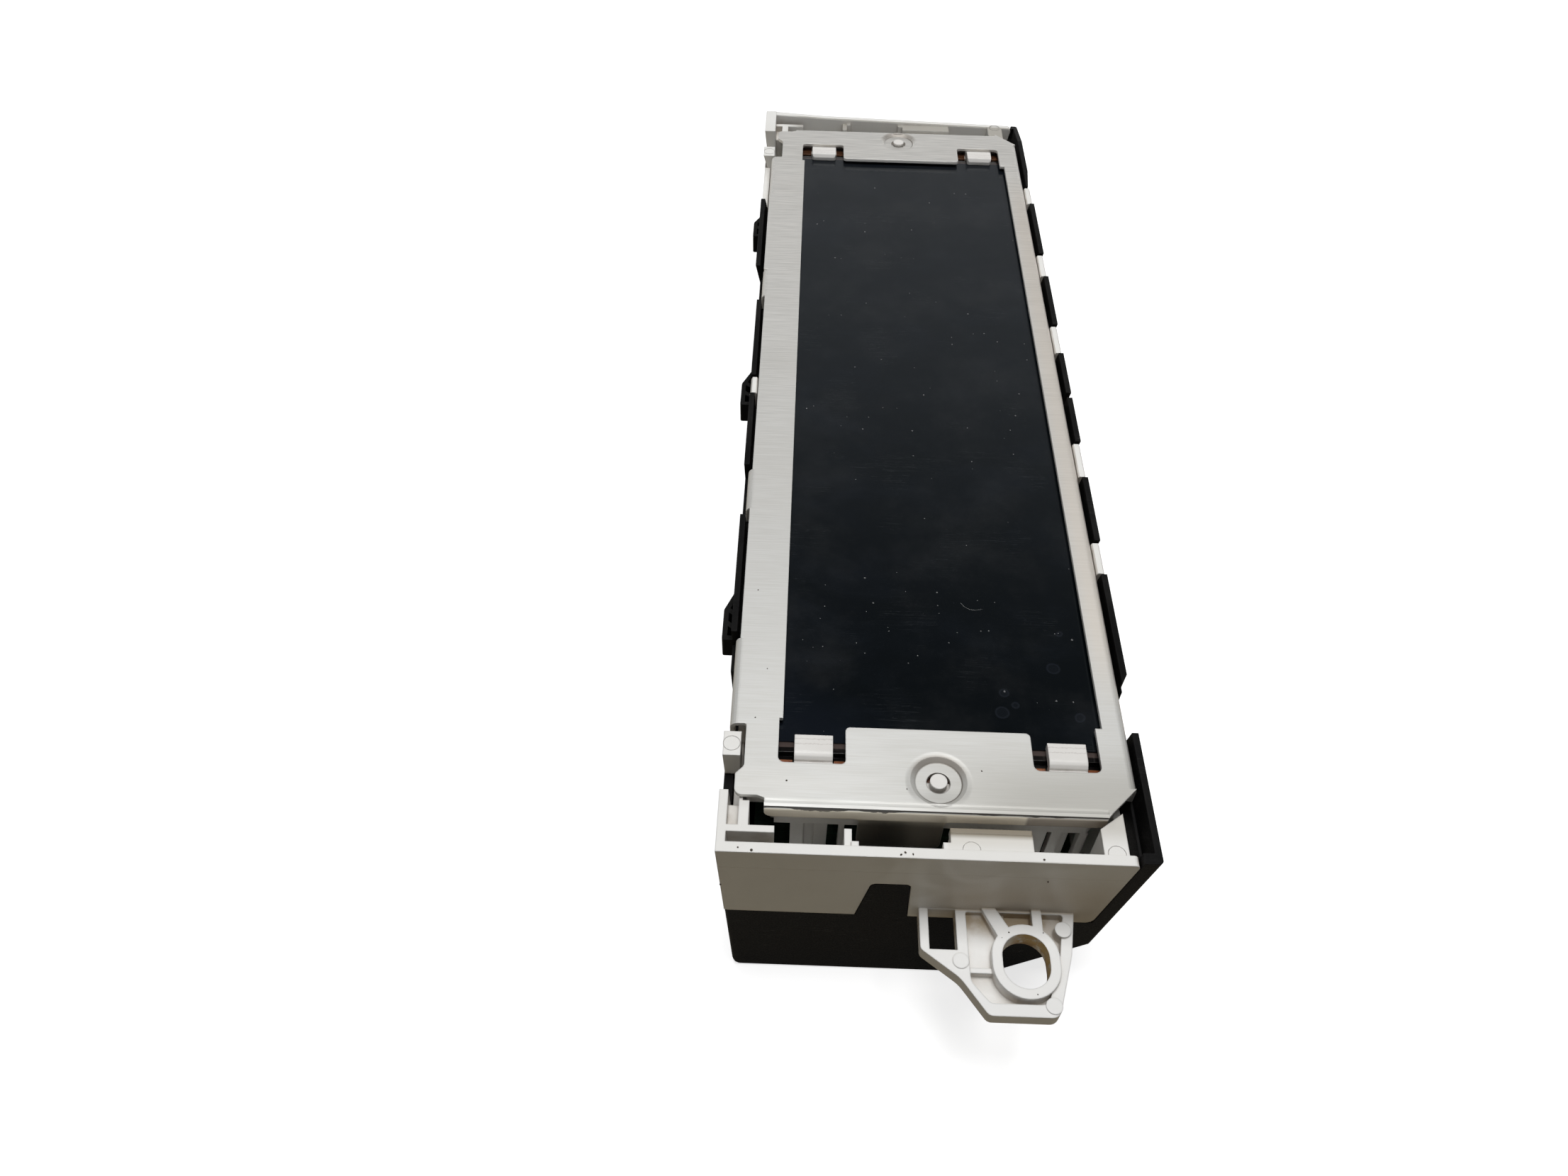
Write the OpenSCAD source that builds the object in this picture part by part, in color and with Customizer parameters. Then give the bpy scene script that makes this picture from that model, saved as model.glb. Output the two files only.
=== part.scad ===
// Dashboard display unit lying on its back: a dark glass cell under a folded steel bezel,
// in a white moulded housing with two screw lugs, closed by a black rear cover.
// X runs across the unit, Y along it and Z from the rear face up to the bezel.
// The origin is on the rear face, half way along, on the middle plane of the case.

/* [Case] */
// Length of the case between its two end faces
case_l = 171.6; // [168:0.2:200]
// Height from the rear face to the face of the bezel
total_h = 32.6; // [32:0.2:40]
// Distance of the left face from the middle plane at bezel height
left_top = 25.9; // [25.8:0.1:28]
// Distance of the left face from the middle plane at the rear face
left_foot = 24.3; // [24.2:0.1:25.2]
// Distance of the right face from the middle plane at bezel height
right_top = 26.1; // [26.1:0.1:28]
// Distance of the right face from the middle plane at the knee
right_knee = 22.2; // [22.2:0.1:23]
// Height of the knee where the right face turns into the bevel
knee_h = 10.2; // [9.6:0.1:10.8]
// Distance from the middle plane at which the bevel meets the rear face
bevel_foot = 10.8; // [9:0.1:14]
// Height at which housing and cover meet on the end faces
split_h = 16.6; // [15.6:0.1:18]
// Drop of the housing's rim below the face of the bezel
rim_drop = 0.85; // [0.5:0.05:1.4]
// Gap left all round where two mouldings meet in a visible seam
seam = 0.1; // [0.05:0.05:0.2]
// Radius of the cover's edges round its end faces
edge_r = 0.5; // [0.3:0.1:1.1]

/* [Rear cover] */
// Wall of the black rear cover
cover_wall = 1.1; // [0.9:0.05:1.2]
// Thickness of both end walls
end_wall = 1.35; // [1.2:0.05:1.8]
// Wall of the thin upright tabs beside the bezel
tab_wall = 0.8; // [0.6:0.05:0.85]
// Drop of the tab tops below the face of the bezel
tab_drop = 0.2; // [0.1:0.05:0.6]
// Drop of the side walls between the tabs
wall_drop = 3.3; // [3.2:0.1:4]
// Width of the black strip that stands beside the right end of each housing end wall
corner_strip = 2.2; // [1.8:0.1:2.6]
// Width of the same strip at the far end
far_strip = 1.2; // [1.2:0.1:2.2]
// Fall of the far strip's top towards the end face
far_strip_fall = 1; // [0.4:0.1:1.4]
// Height of the low gaps in the side walls
low_gap_h = 20; // [18:0.5:22]
// Depth of the cross ribs on the cover floor
floor_rib_h = 3; // [1.5:0.1:4]
// Number of cross ribs on the cover floor
floor_ribs = 6; // [2:1:8]
// Middle of the tongue that reaches up into each housing end wall
tongue_x = -4.8; // [-8:0.1:-4.8]
// Width of the tongue at its top
tongue_w = 4.6; // [3:0.1:5]
// Height of the tongue above the meeting line
tongue_h = 8.4; // [5:0.1:10]

/* [Side tabs] */
// Start and end of each upright tab on the left side
left_tabs = [[-53.6, -31.8], [-21.2, 20.5], [30.8, 53]];
// Middle and length of each snap hook on the right side
right_hooks = [[-37.9, 5.8], [-17.6, 7.3], [12.2, 7.2], [33.9, 6.5], [57.4, 5.6]];
// Middle of the small snap hook on the left side
left_hook = -2.2; // [-6:0.1:6]
// Length of the left snap hook
left_hook_l = 3.9; // [2:0.1:4.5]
// Gap at each end of a snap hook
hook_gap = 0.35; // [0.2:0.05:0.6]
// Height of the sill that the hooks rest on
hook_sill = 22; // [21:0.1:23]
// Drop of the hook tops below the face of the bezel
hook_drop = 0.5; // [0.3:0.1:2]
// Outward lean of the far left tab at its top
tab_lean = 0.7; // [0.5:0.1:1]
// Near end of the first long tab on the right side
right_tab_start = -61.1; // [-62:0.1:-60.8]
// Length of the low gap before that tab
right_gap_l = 6.6; // [4:0.1:8]
// Length of the low gap's wall before the first tab on the left side
left_gap_margin = 4.4; // [3:0.1:5]
// Length of the ramp at the near end of the last tab on the right side
last_ramp = 5.6; // [4:0.1:7]
// Near end, length and reach of each outboard bracket on the left side
brackets = [[-53.6, 10, 27.2], [-5.3, 10, 27.4], [43.1, 9.3, 27.7]];
// Length of the ramp at the far end of a bracket
bracket_ramp = 4.8; // [3:0.1:6]
// Height of the top of the outboard brackets
bracket_top = 30.5; // [28:0.1:31]
// Height of an outboard bracket from its floor
bracket_h = 3.5; // [3:0.5:8]
// Skin of an outboard bracket
bracket_wall = 0.7; // [0.5:0.05:1]

/* [Housing] */
// Side wall of the white housing inside the cover
side_wall = 0.9; // [0.8:0.05:1]
// Gap between the cover wall and the housing's side wall
side_gap = 0.2; // [0.15:0.05:0.3]
// Length of the corner leg that runs back from each end wall on the left
leg_l = 8.3; // [6:0.1:9]
// Thickness of the corner leg
leg_wall = 1.1; // [0.9:0.05:1.4]
// Rise of the far rim at its left corner
far_rise = 0.9; // [0.2:0.1:1]
// Further rise of the far left corner
corner_rise = 0.5; // [0.1:0.1:0.7]
// Length of rim over which that corner rises
corner_rise_l = 11; // [6:0.5:14]
// Fall of the far rim at its right corner
far_dip = 0.3; // [0.1:0.1:0.5]
// Outward lean of the far left corner at its top
far_lean = 1; // [0.4:0.1:1.2]
// Length of the corner post beside the bezel
post_l = 3.5; // [2.5:0.1:4.5]
// Distance of the corner post from the end face
post_inset = 12.9; // [12:0.1:14]
// Width of the corner post
post_w = 2.25; // [2:0.05:2.3]
// Drop of the corner post's top below the face of the bezel
post_drop = 0.4; // [0.2:0.1:1]
// Free space beyond the corner post in the cover's side wall
post_gap = 1.1; // [0.8:0.1:1.4]
// Thickness of the ribs inside the rim
rim_rib = 0.9; // [0.7:0.05:1.2]
// Distance of the board screws from the middle plane, left and right
screw_x = [-17, 15];
// Distance of the board screws from the end face
screw_inset = 5.5; // [5:0.1:6]
// Diameter of the screw bosses
boss_d = 4.6; // [4:0.1:5]

/* [Lugs] */
// Reach of a lug beyond the end face
lug_l = 13.2; // [12.8:0.1:16]
// Height of the lug's top face
lug_top = 19.1; // [18.6:0.1:20.5]
// Thickness of the lug's frame
lug_t = 2.1; // [1.8:0.1:2.4]
// Left edge of the lug where it leaves the end face
lug_left = -0.9; // [-2:0.1:-0.5]
// Right edge of the lug where it leaves the end face
lug_right = 18.4; // [18:0.1:19.4]
// Width of the screw slot
slot_w = 5.7; // [5.2:0.1:6.2]
// Length of the screw slot from end to end
slot_l = 6.8; // [6.4:0.1:7.4]
// Middle of the screw slot across the unit
slot_x = 11.7; // [11.4:0.1:12]
// Distance of the slot's middle from the end face
slot_out = 6.65; // [6.4:0.05:7]
// Wall of the ring boss round the slot
ring_wall = 1.25; // [1:0.05:1.5]
// Rise of the ring boss above the lug's top face
ring_rise = 0.6; // [0.3:0.1:1]
// Width of the rectangular hole beside the slot
hole_w = 3.4; // [3:0.05:3.8]
// Rib between the rectangular hole and the pocket beside it
hole_rib = 1.25; // [1:0.05:1.4]
// Length of the rectangular hole
hole_l = 5.2; // [4.6:0.1:5.6]
// Width of the raised frame round the lug
frame_w = 1.1; // [0.9:0.05:1.4]

/* [Window] */
// Width of the window in the bezel
window_w = 40; // [36:0.2:40.4]
// Distance of the window's ends from the bezel's ends
window_inset = 11.45; // [11.15:0.05:14]
// Shift of the window from the middle plane
window_x = 1.5; // [1.3:0.1:1.6]
// Width of a clip notch at the ends of the window
notch_w = 8.3; // [7.8:0.05:9]
// Depth of a clip notch beyond the window's end
notch_d = 5.4; // [5:0.1:5.6]
// Distance of the two notches from each other, middle to middle
notch_pitch = 31.3; // [30.6:0.1:31.8]
// Shift of the dished rings and pins from the middle plane
mark_x = 0.6; // [0.4:0.1:0.8]
// Shift of the clip notches from the middle plane
notch_x = 0.85; // [0.7:0.05:1]

/* [Bezel] */
// Thickness of the steel sheet
sheet = 0.6; // [0.5:0.05:0.7]
// Distance of the bezel's end flanges from the end faces of the case
bezel_inset = 5.85; // [5.3:0.05:5.9]
// Distance of the bezel's left edge from the middle plane
bezel_left = 25.15; // [25.1:0.05:25.3]
// Distance of the bezel's right edge from the middle plane
bezel_right = 24.6; // [24.5:0.05:24.65]
// Outer radius of the bends
bend_r = 1; // [0.8:0.05:1.2]
// Depth of the end flanges
flange_h = 2.65; // [2.2:0.05:3.2]
// Depth of the side flanges
side_flange_h = 3; // [2:0.1:3]
// Depth of the long snap tab in the middle of each end flange
snap_h = 9; // [7:0.1:11]
// Width of the long snap tab
snap_w = 10.4; // [9:0.1:12]
// Middle of the long snap tab
snap_x = -3.8; // [-5:0.1:-3.4]
// Width of the cut-back of the bezel edge beside each left tab
edge_cut = 0.6; // [0.4:0.05:0.65]
// Width of the same cut-back beside the far left tab, which leans away
far_edge_cut = 0.1; // [0:0.05:0.6]
// Distance of the dimples from the window's end
dimple_out = 7.3; // [7.2:0.1:7.6]
// Diameter of the dimple at the bezel face
dimple_d = 6.9; // [6.4:0.1:7.1]
// Diameter of the dimple's flat floor
dimple_floor_d = 5.5; // [5:0.1:6]
// Depth of the dimple
dimple_h = 0.5; // [0.3:0.05:0.6]
// Diameter of the hole in the dimple
dimple_hole_d = 2.9; // [2.7:0.1:3.3]
// Diameter of the locating pin that stands in the hole
pin_d = 2.1; // [1.9:0.1:2.4]

/* [Display cell] */
// Thickness of each glass pane
pane_t = 1.1; // [1:0.05:1.15]
// Thickness of each polarising film
film_t = 0.2; // [0.15:0.05:0.25]
// Thickness of the amber filter film
filter_t = 0.2; // [0.15:0.05:0.25]
// Thickness of the diffusing sheet
diffuser_t = 0.6; // [0.5:0.05:0.7]
// Gap between the bezel and the front film
face_gap = 0.6; // [0.4:0.05:0.7]
// Length of glass beyond each end of the window
pane_lap = 3.8; // [3.7:0.05:3.9]
// Shift of the panes to the left of the window's middle line
pane_shift = 0.5; // [0.4:0.05:0.6]
// Width of the front pane
front_pane_w = 43.8; // [43.4:0.1:44]
// Width of the contact ledge on the rear pane
contact_ledge = 1.6; // [1.4:0.1:1.8]
// Length of the ribbon that feeds the cell
ribbon_l = 60; // [40:1:64]
// Thickness of the ribbon
ribbon_t = 0.15; // [0.1:0.05:0.2]
// Clear gap round the panes and films
cell_gap = 0.2; // [0.15:0.05:0.25]

/* [Carrier and light box] */
// Thickness of the ledge that carries the glass
ledge_t = 1.8; // [1.5:0.1:2]
// Overhang of the clips over the glass
clip_reach = 2.8; // [2.6:0.1:3]
// Width of a clip
clip_w = 4.75; // [4:0.05:5]
// Radius of a clip's bend at the end face's side
clip_bend = 1.2; // [0.8:0.1:1.25]
// Radius of a clip's corners over the glass
clip_corner = 0.5; // [0.3:0.05:0.8]
// Rise of the clips above the face of the bezel
clip_rise = 0.1; // [0:0.05:0.2]
// Depth of the carrier's end skirts
skirt_h = 6.6; // [5:0.1:7]
// Thickness of the end skirts
skirt_t = 1; // [0.8:0.05:1.2]
// Wall of the light box
box_wall = 1; // [0.8:0.05:1.2]
// Number of chambers in the light box
chambers = 4; // [2:1:6]

/* [Circuit board] */
// Height of the board's lower face
board_z = 12; // [12:0.05:12.2]
// Thickness of the board
board_t = 1.6; // [1.5:0.05:1.6]
// Distance of the board's left edge from the middle plane
board_left = 22; // [21.6:0.1:22.4]
// Distance of the board's right edge from the middle plane
board_right = 20.6; // [19.8:0.1:20.8]
// Distance of the board's ends from the end faces of the case
board_inset = 2.4; // [2.4:0.1:3.8]
// Width of the plug socket across its long side
socket_w = 12; // [11:0.1:13]
// Length of the plug socket
socket_l = 30; // [26:0.5:34]
// Middle of the plug socket across the unit
socket_x = -6; // [-8:0.1:-4]
// Middle of the plug socket along the unit
socket_y = -30; // [-34:0.5:-26]
// Wall of the plug socket
socket_wall = 1.2; // [1:0.05:1.4]
// Contacts in each of the two rows
pins_per_row = 6; // [4:1:6]
// Pitch of the contacts
pin_pitch = 3.5; // [3:0.1:4]
// Thickness of a contact
contact_w = 0.64; // [0.5:0.02:0.8]
// Diameter of the board screws' shanks
shank_d = 1.9; // [1.6:0.1:2.2]
// Diameter of the board screws' heads
head_d = 4; // [3.4:0.1:4.4]
// Width and length of a lamp's case
lamp_w = 3.2; // [2.8:0.1:3.5]
lamp_l = 2.8; // [2.4:0.1:3]
// Height of a lamp's case
lamp_h = 1.9; // [1.4:0.1:2]

/* [Parts under the board] */
// Place of the controller chip
controller_at = [-6, 14];
// Width of the controller chip
controller_w = 14; // [12:0.5:14.5]
// Place of the driver chip
driver_at = [-7, 46];
// Width of the driver chip
driver_w = 10; // [8:0.5:12]
// Spacing of the chips' legs
leg_pitch = 1.2; // [1:0.05:1.3]
// Place of the voltage regulator
regulator_at = [8, -38];
// Width of the voltage regulator
regulator_w = 6.6; // [6:0.1:7]
// Place of the clock crystal
crystal_at = [-6, 30];
// Length of the clock crystal's foot
crystal_l = 11.4; // [10:0.1:11.4]
// Width of the clock crystal's foot
crystal_w = 4.7; // [4:0.1:4.8]
// Places of the smoothing capacitors
can_places = [[-15, -58], [-6, -58], [-15, 62]];
// Diameter of a smoothing capacitor
can_d = 6.3; // [5:0.1:6.5]
// Height of a smoothing capacitor
can_h = 7.6; // [6:0.1:8]
// Place of the power coil
coil_at = [5, -58];
// Diameter of the power coil's flanges
coil_d = 8; // [6:0.1:9]
// Height of the power coil
coil_h = 5; // [4:0.1:6]
// Place of the protection diode
diode_at = [-16, -46];
// Length of the protection diode's case
diode_l = 4.4; // [4:0.1:4.6]
// Place of the first small resistor
small_at = [6.5, 2];
// Spacing of the small resistors and capacitors across and along
small_pitch = [5, 3.4];
// Length of a small resistor
small_l = 1.6; // [1.2:0.1:2]

/* [Hidden] */
$fn = 48;

half_l = case_l / 2;
inner_end = half_l - end_wall;
rim_z = total_h - rim_drop;
tab_z = total_h - tab_drop;
wall_z = total_h - wall_drop;
sheet_z = total_h - sheet;
front_film_z = sheet_z - face_gap - film_t;
front_pane_z = front_film_z - pane_t;
rear_pane_z = front_pane_z - pane_t;
rear_film_z = rear_pane_z - film_t;
ledge_z = rear_film_z - filter_t;
box_top_z = ledge_z - diffuser_t;
carrier_z = ledge_z - ledge_t;
step_z = front_film_z - film_t - 0.2;
board_top = board_z + board_t;
window_left = window_x - window_w / 2;
window_right = window_x + window_w / 2;
half_bezel = half_l - bezel_inset;
half_window = half_bezel - window_inset;
half_pane = half_window + pane_lap;
half_board = half_l - board_inset;
dimple_y = half_window + dimple_out;
pane_right = window_x + front_pane_w / 2 - pane_shift;
pane_left = pane_right - front_pane_w;
beyond = right_top + 14;
eps = 0.01;

// One rounded corner: an arc of radius r that touches both edges at point p
function unit(v) = v / norm(v);
function arc_corner(a, p, c, r, steps) =
    let (u = unit(a - p), w = unit(c - p), half = acos(u * w) / 2,
        centre = p + unit(u + w) * r / sin(half),
        from = unit(p + u * r / tan(half) - centre), to = unit(p + w * r / tan(half) - centre))
    [for (i = [0:steps]) centre + r * unit(from * (steps - i) + to * i)];

// An outline from corners [x, y, radius]; a radius of 0 leaves the corner sharp
function rounded(pts, steps = 5) =
    [for (i = [0:len(pts) - 1])
        let (n = len(pts), p = pts[i], a = pts[(i + n - 1) % n], c = pts[(i + 1) % n])
        each (p[2] == 0 ? [[p[0], p[1]]]
            : arc_corner([a[0], a[1]], [p[0], p[1]], [c[0], c[1]], p[2], steps))];

// The same convex outline moved inwards by d, with its radii reduced to match
function inset(pts, d) =
    [for (i = [0:len(pts) - 1])
        let (n = len(pts), p = [pts[i][0], pts[i][1]],
            u = unit([pts[(i + n - 1) % n][0], pts[(i + n - 1) % n][1]] - p),
            w = unit([pts[(i + 1) % n][0], pts[(i + 1) % n][1]] - p),
            q = p + unit(u + w) * d / sin(acos(u * w) / 2))
        [q[0], q[1], max(0, pts[i][2] - d)]];

// The sloping side faces of the case
function left_x(z) = -(left_foot + (left_top - left_foot) * z / total_h);
function right_x(z) = right_knee + (right_top - right_knee) * (z - knee_h) / (total_h - knee_h);

// Cross-section of the case, from its top at the left round the rear face to the right
function case_section(top) = [
    [left_x(top), top, 0], [left_x(0), 0, 2.2], [bevel_foot, 0, 3],
    [right_knee, knee_h, 2.4], [right_x(top), top, 0]];

module along_y(y0, y1) {
    translate([0, y1, 0]) rotate([90, 0, 0]) linear_extrude(y1 - y0) children();
}

module along_x(x0, x1) {
    translate([x0, 0, 0]) rotate([90, 0, 90]) linear_extrude(x1 - x0) children();
}

module both_ends() {
    children();
    mirror([0, 1, 0]) children();
}

module block(x0, x1, y0, y1, z0, z1) {
    translate([x0, y0, z0]) cube([x1 - x0, y1 - y0, z1 - z0]);
}

// Outline of the tongue on the cover, grown by a gap for the notch it fits
module tongue_outline(gap) {
    polygon(rounded([
        [tongue_x - tongue_w / 2 - 1.9 - gap, split_h - 2, 0],
        [tongue_x + tongue_w / 2 + 0.4 + gap, split_h - 2, 0],
        [tongue_x + tongue_w / 2 + gap, split_h + tongue_h + gap, 0.7],
        [tongue_x - tongue_w / 2 - gap, split_h + tongue_h + gap, 0.9]]));
}

// Draws a form of the far end, or its mirror image at the near end when side is -1
module at_end(side) {
    mirror([0, side < 0 ? 1 : 0, 0]) children();
}

// Width of the black strip beside an end wall
function strip_at(side) = side < 0 ? corner_strip : far_strip;

// Face of a housing end wall: left face, rim, and the edge beside the black corner strip
module end_face(side) {
    right_gap = strip_at(side) + seam;
    lean = side < 0 ? 0 : far_lean;
    rise = side < 0 ? 0 : far_rise;
    dip = side < 0 ? 0 : far_dip;
    bump = side < 0 ? 0 : corner_rise;
    difference() {
        polygon(rounded([
            [left_x(split_h), split_h, 0.5], [right_x(split_h) - right_gap, split_h, 1.2],
            [right_x(rim_z) - right_gap, rim_z - dip, 0.6],
            [left_x(rim_z) + corner_rise_l, rim_z + rise * (1 - corner_rise_l / (left_top + right_top)), 0],
            [left_x(rim_z) - lean, rim_z + rise + bump, 0.5]]));
        tongue_outline(seam);
    }
}

module cover_shell(top, wall) {
    difference() {
        along_y(-half_l, half_l) polygon(rounded(case_section(top)));
        along_y(-inner_end, inner_end) polygon(rounded(inset(case_section(total_h + 20), wall)));
    }
}

// One outboard bracket: a thin skin with a ramp at its far end and two slanting ribs
module bracket(y0, length, reach) {
    back = left_x(bracket_top) + cover_wall / 2;
    slope = bracket_ramp / (reach + back);
    skin = bracket_wall * sqrt(1 + slope * slope);
    function ramp_y(x) = y0 + length - bracket_ramp + (x + reach) * slope - skin;
    plan = [[back, y0, 0], [back, y0 + length, 0], [-reach, y0 + length - bracket_ramp, 1],
        [-reach, y0, 0.3]];
    inner_x = -reach + bracket_wall;
    wall_x = left_x(bracket_top);
    difference() {
        translate([0, 0, bracket_top - bracket_h]) linear_extrude(bracket_h) polygon(rounded(plan));
        translate([0, 0, bracket_top - bracket_h + bracket_wall]) linear_extrude(bracket_h)
            difference() {
                polygon([[inner_x, y0 + bracket_wall], [wall_x, y0 + bracket_wall],
                    [wall_x, ramp_y(wall_x)], [inner_x, ramp_y(inner_x)]]);
                for (share = [0.18, 0.42])
                    translate([wall_x, y0 + share * length]) rotate(-38)
                        translate([-4, 0]) square([5, bracket_wall]);
            }
    }
}

// Cutter that rounds the far end's edge along one straight stretch of the section, p to q
module edge_cutter(p, q) {
    arc = [for (a = [0:22.5:90]) edge_r * [sin(a) - 1, cos(a) - 1]];
    translate([p[0], half_l, p[1]]) rotate([0, atan2(q[0] - p[0], q[1] - p[1]), 0])
        linear_extrude(norm(q - p)) polygon(concat([[1, -edge_r], [1, 1], [-edge_r, 1]], arc));
}

module rear_cover() color([0.06, 0.06, 0.065]) {
    corner_x = left_x(total_h) - 3;
    low_left = [-half_l + post_inset + post_l + post_gap, left_tabs[0][0] - left_gap_margin];
    far_tab = left_tabs[2];
    ends = case_section(tab_z);
    last_tab = right_hooks[4][0] + right_hooks[4][1] / 2 + hook_gap;
    last_x = right_x(tab_z) - tab_wall + 0.3;
    difference() {
        union() {
            cover_shell(wall_z, cover_wall);
            difference() {
                cover_shell(tab_z, tab_wall);
                block(-beyond, beyond, -half_l - 1, half_l + 1, -1, wall_z - 1);
                // The left side keeps only its first two tabs
                block(-beyond, 0, -half_l - 1, left_tabs[0][0], wall_z, total_h + 1);
                block(-beyond, 0, left_tabs[0][1], left_tabs[1][0], wall_z, total_h + 1);
                block(-beyond, 0, left_tabs[1][1], half_l + 1, wall_z, total_h + 1);
            }
            // The far left tab leans away from the bezel
            along_y(far_tab[0], far_tab[1]) polygon([
                [left_x(wall_z - 1), wall_z - 1], [left_x(wall_z - 1) + tab_wall, wall_z - 1],
                [left_x(tab_z) + tab_wall - tab_lean, tab_z], [left_x(tab_z) - tab_lean, tab_z]]);
            // Strip at the right of each end face
            intersection() {
                along_y(-half_l, half_l) polygon(rounded(case_section(tab_z)));
                for (side = [-1, 1]) at_end(side) along_y(inner_end, half_l) polygon([
                    [right_x(split_h) - strip_at(side), split_h - 1],
                    [right_x(split_h) + 4, split_h - 1], [right_x(total_h) + 4, total_h],
                    [right_x(total_h) - strip_at(side), total_h]]);
            }
            // Cross ribs that stiffen the floor
            intersection() {
                along_y(-half_l + end_wall / 2, half_l - end_wall / 2)
                    polygon(rounded(inset(case_section(total_h), cover_wall / 2)));
                for (i = [0:floor_ribs - 1]) {
                    y = (i + 0.5) * case_l / floor_ribs - half_l;
                    if (abs(y - socket_y) > socket_l / 2 + 2)
                        block(-beyond, beyond, y - 0.5, y + 0.5, cover_wall / 2, cover_wall + floor_rib_h);
                }
            }
            for (b = brackets) bracket(b[0], b[1], b[2]);
        }
        // The housing's end walls stand here; only the tongue and the corner strip stay
        for (side = [-1, 1]) at_end(side) along_y(inner_end - eps, half_l + 1) difference() {
            polygon([[corner_x, split_h], [right_x(split_h) - strip_at(side), split_h],
                [right_x(total_h) - strip_at(side), total_h], [corner_x, total_h]]);
            tongue_outline(0);
        }
        // Room for the housing's corner legs and posts on the left
        both_ends() {
            block(corner_x, left_x(total_h) + 6, half_l - leg_l - seam, half_l + 1,
                split_h, total_h + 1);
            block(corner_x, left_x(total_h) + 6, half_l - post_inset - post_l - post_gap,
                half_l - leg_l - seam - eps, total_h - 5, total_h + 1);
        }
        // Low gaps near the near end, one on each side, and the housing's wall at the far left
        block(corner_x, -10, low_left[0], low_left[1], low_gap_h, total_h + 1);
        block(10, beyond, right_tab_start - right_gap_l, right_tab_start, low_gap_h, total_h + 1);
        block(corner_x, -10, far_tab[1] + hook_gap, half_l + 1, low_gap_h, total_h + 1);
        // Narrow split in the middle of the right side
        block(10, beyond, -3.2, -2, hook_sill, total_h + 1);
        // Slanted near end of the first right tab, and the long ramp of the last one
        translate([right_x(tab_z) - 0.9, right_tab_start + 1, hook_sill]) linear_extrude(20)
            polygon([[0, -2], [3, -2], [3, 5], [0, 0]]);
        translate([last_x, last_tab, hook_sill]) linear_extrude(20)
            polygon([[0, -1], [1, -1], [1, last_ramp / (tab_wall - 0.3)], [0, 0]]);
        // Falling top of the far right strip
        along_x(10, beyond) polygon([[half_l - 8, tab_z], [half_l + 1, tab_z - far_strip_fall * 9 / 8],
            [half_l + 1, total_h + 1], [half_l - 8, total_h + 1]]);
        // Rounded edges round both end faces
        both_ends() for (i = [0:len(ends) - 2])
            edge_cutter([ends[i][0], ends[i][1]], [ends[i + 1][0], ends[i + 1][1]]);
        // Windows for the snap hooks
        for (h = right_hooks) block(10, beyond, h[0] - h[1] / 2 - hook_gap,
            h[0] + h[1] / 2 + hook_gap, hook_sill, total_h + 1);
        block(left_x(total_h) - seam, -10, left_hook - left_hook_l / 2 - hook_gap,
            left_hook + left_hook_l / 2 + hook_gap, hook_sill, total_h + 1);
        // Opening in the floor for the plug socket
        block(socket_x - socket_w / 2 - seam, socket_x + socket_w / 2 + seam,
            socket_y - socket_l / 2 - seam, socket_y + socket_l / 2 + seam, -1, board_z);
    }
}

// Side wall of the housing, parallel to the cover's wall inside it
module housing_side(y_end, z0, z1) {
    intersection() {
        difference() {
            along_y(-y_end, y_end) polygon(rounded(inset(case_section(total_h + 20),
                cover_wall + side_gap)));
            along_y(-y_end - 1, y_end + 1) polygon(rounded(inset(case_section(total_h + 20),
                cover_wall + side_gap + side_wall)));
        }
        block(-beyond, beyond, -y_end, y_end, z0, z1);
    }
}

// Snap hook: a foot on the side wall and a thin finger beside the bezel; side is -1 or 1
module hook(side, y, length) {
    top = total_h - hook_drop;
    foot = carrier_z;
    face = side > 0 ? [right_x(hook_sill), right_x(foot), right_x(top)]
        : [-left_x(hook_sill), -left_x(foot), -left_x(top)];
    reach = cover_wall + side_gap + side_wall / 2;
    edge = side > 0 ? bezel_right + 0.15 : bezel_left - edge_cut + 0.15;
    thick = side > 0 ? bezel_right - 0.5 : bezel_left - 0.8;
    under = total_h - side_flange_h - 0.25;
    mirror([side < 0 ? 1 : 0, 0, 0]) along_y(y - length / 2, y + length / 2) polygon([
        [face[0] - reach, hook_sill], [face[0] - 0.05, hook_sill], [face[2] - 0.05, top - 0.5],
        [face[2] - 0.3, top], [edge + 0.2, top], [edge, top - 0.3], [edge, under], [thick, under],
        [thick, foot], [face[1] - reach, foot]]);
}

// Lug outline in plan, from the end face outwards
function lug_outline() = [
    [lug_left, -end_wall / 2, 0], [lug_right, -end_wall / 2, 0],
    [lug_right - 1, lug_l * 0.42, 5], [lug_right - 3.3, lug_l, 1.3],
    [lug_left + 7.7, lug_l, 1], [lug_left + 4.6, lug_l * 0.665, 5],
    [lug_left, hole_l + 0.1, 0.8]];

module slot_profile(grow) {
    run = (slot_l - slot_w) / 2;
    for (s = [-1, 1]) translate([slot_x, slot_out + s * run]) circle(d = slot_w + 2 * grow);
    translate([slot_x - slot_w / 2 - grow, slot_out - run]) square([slot_w + 2 * grow, 2 * run]);
}

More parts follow.
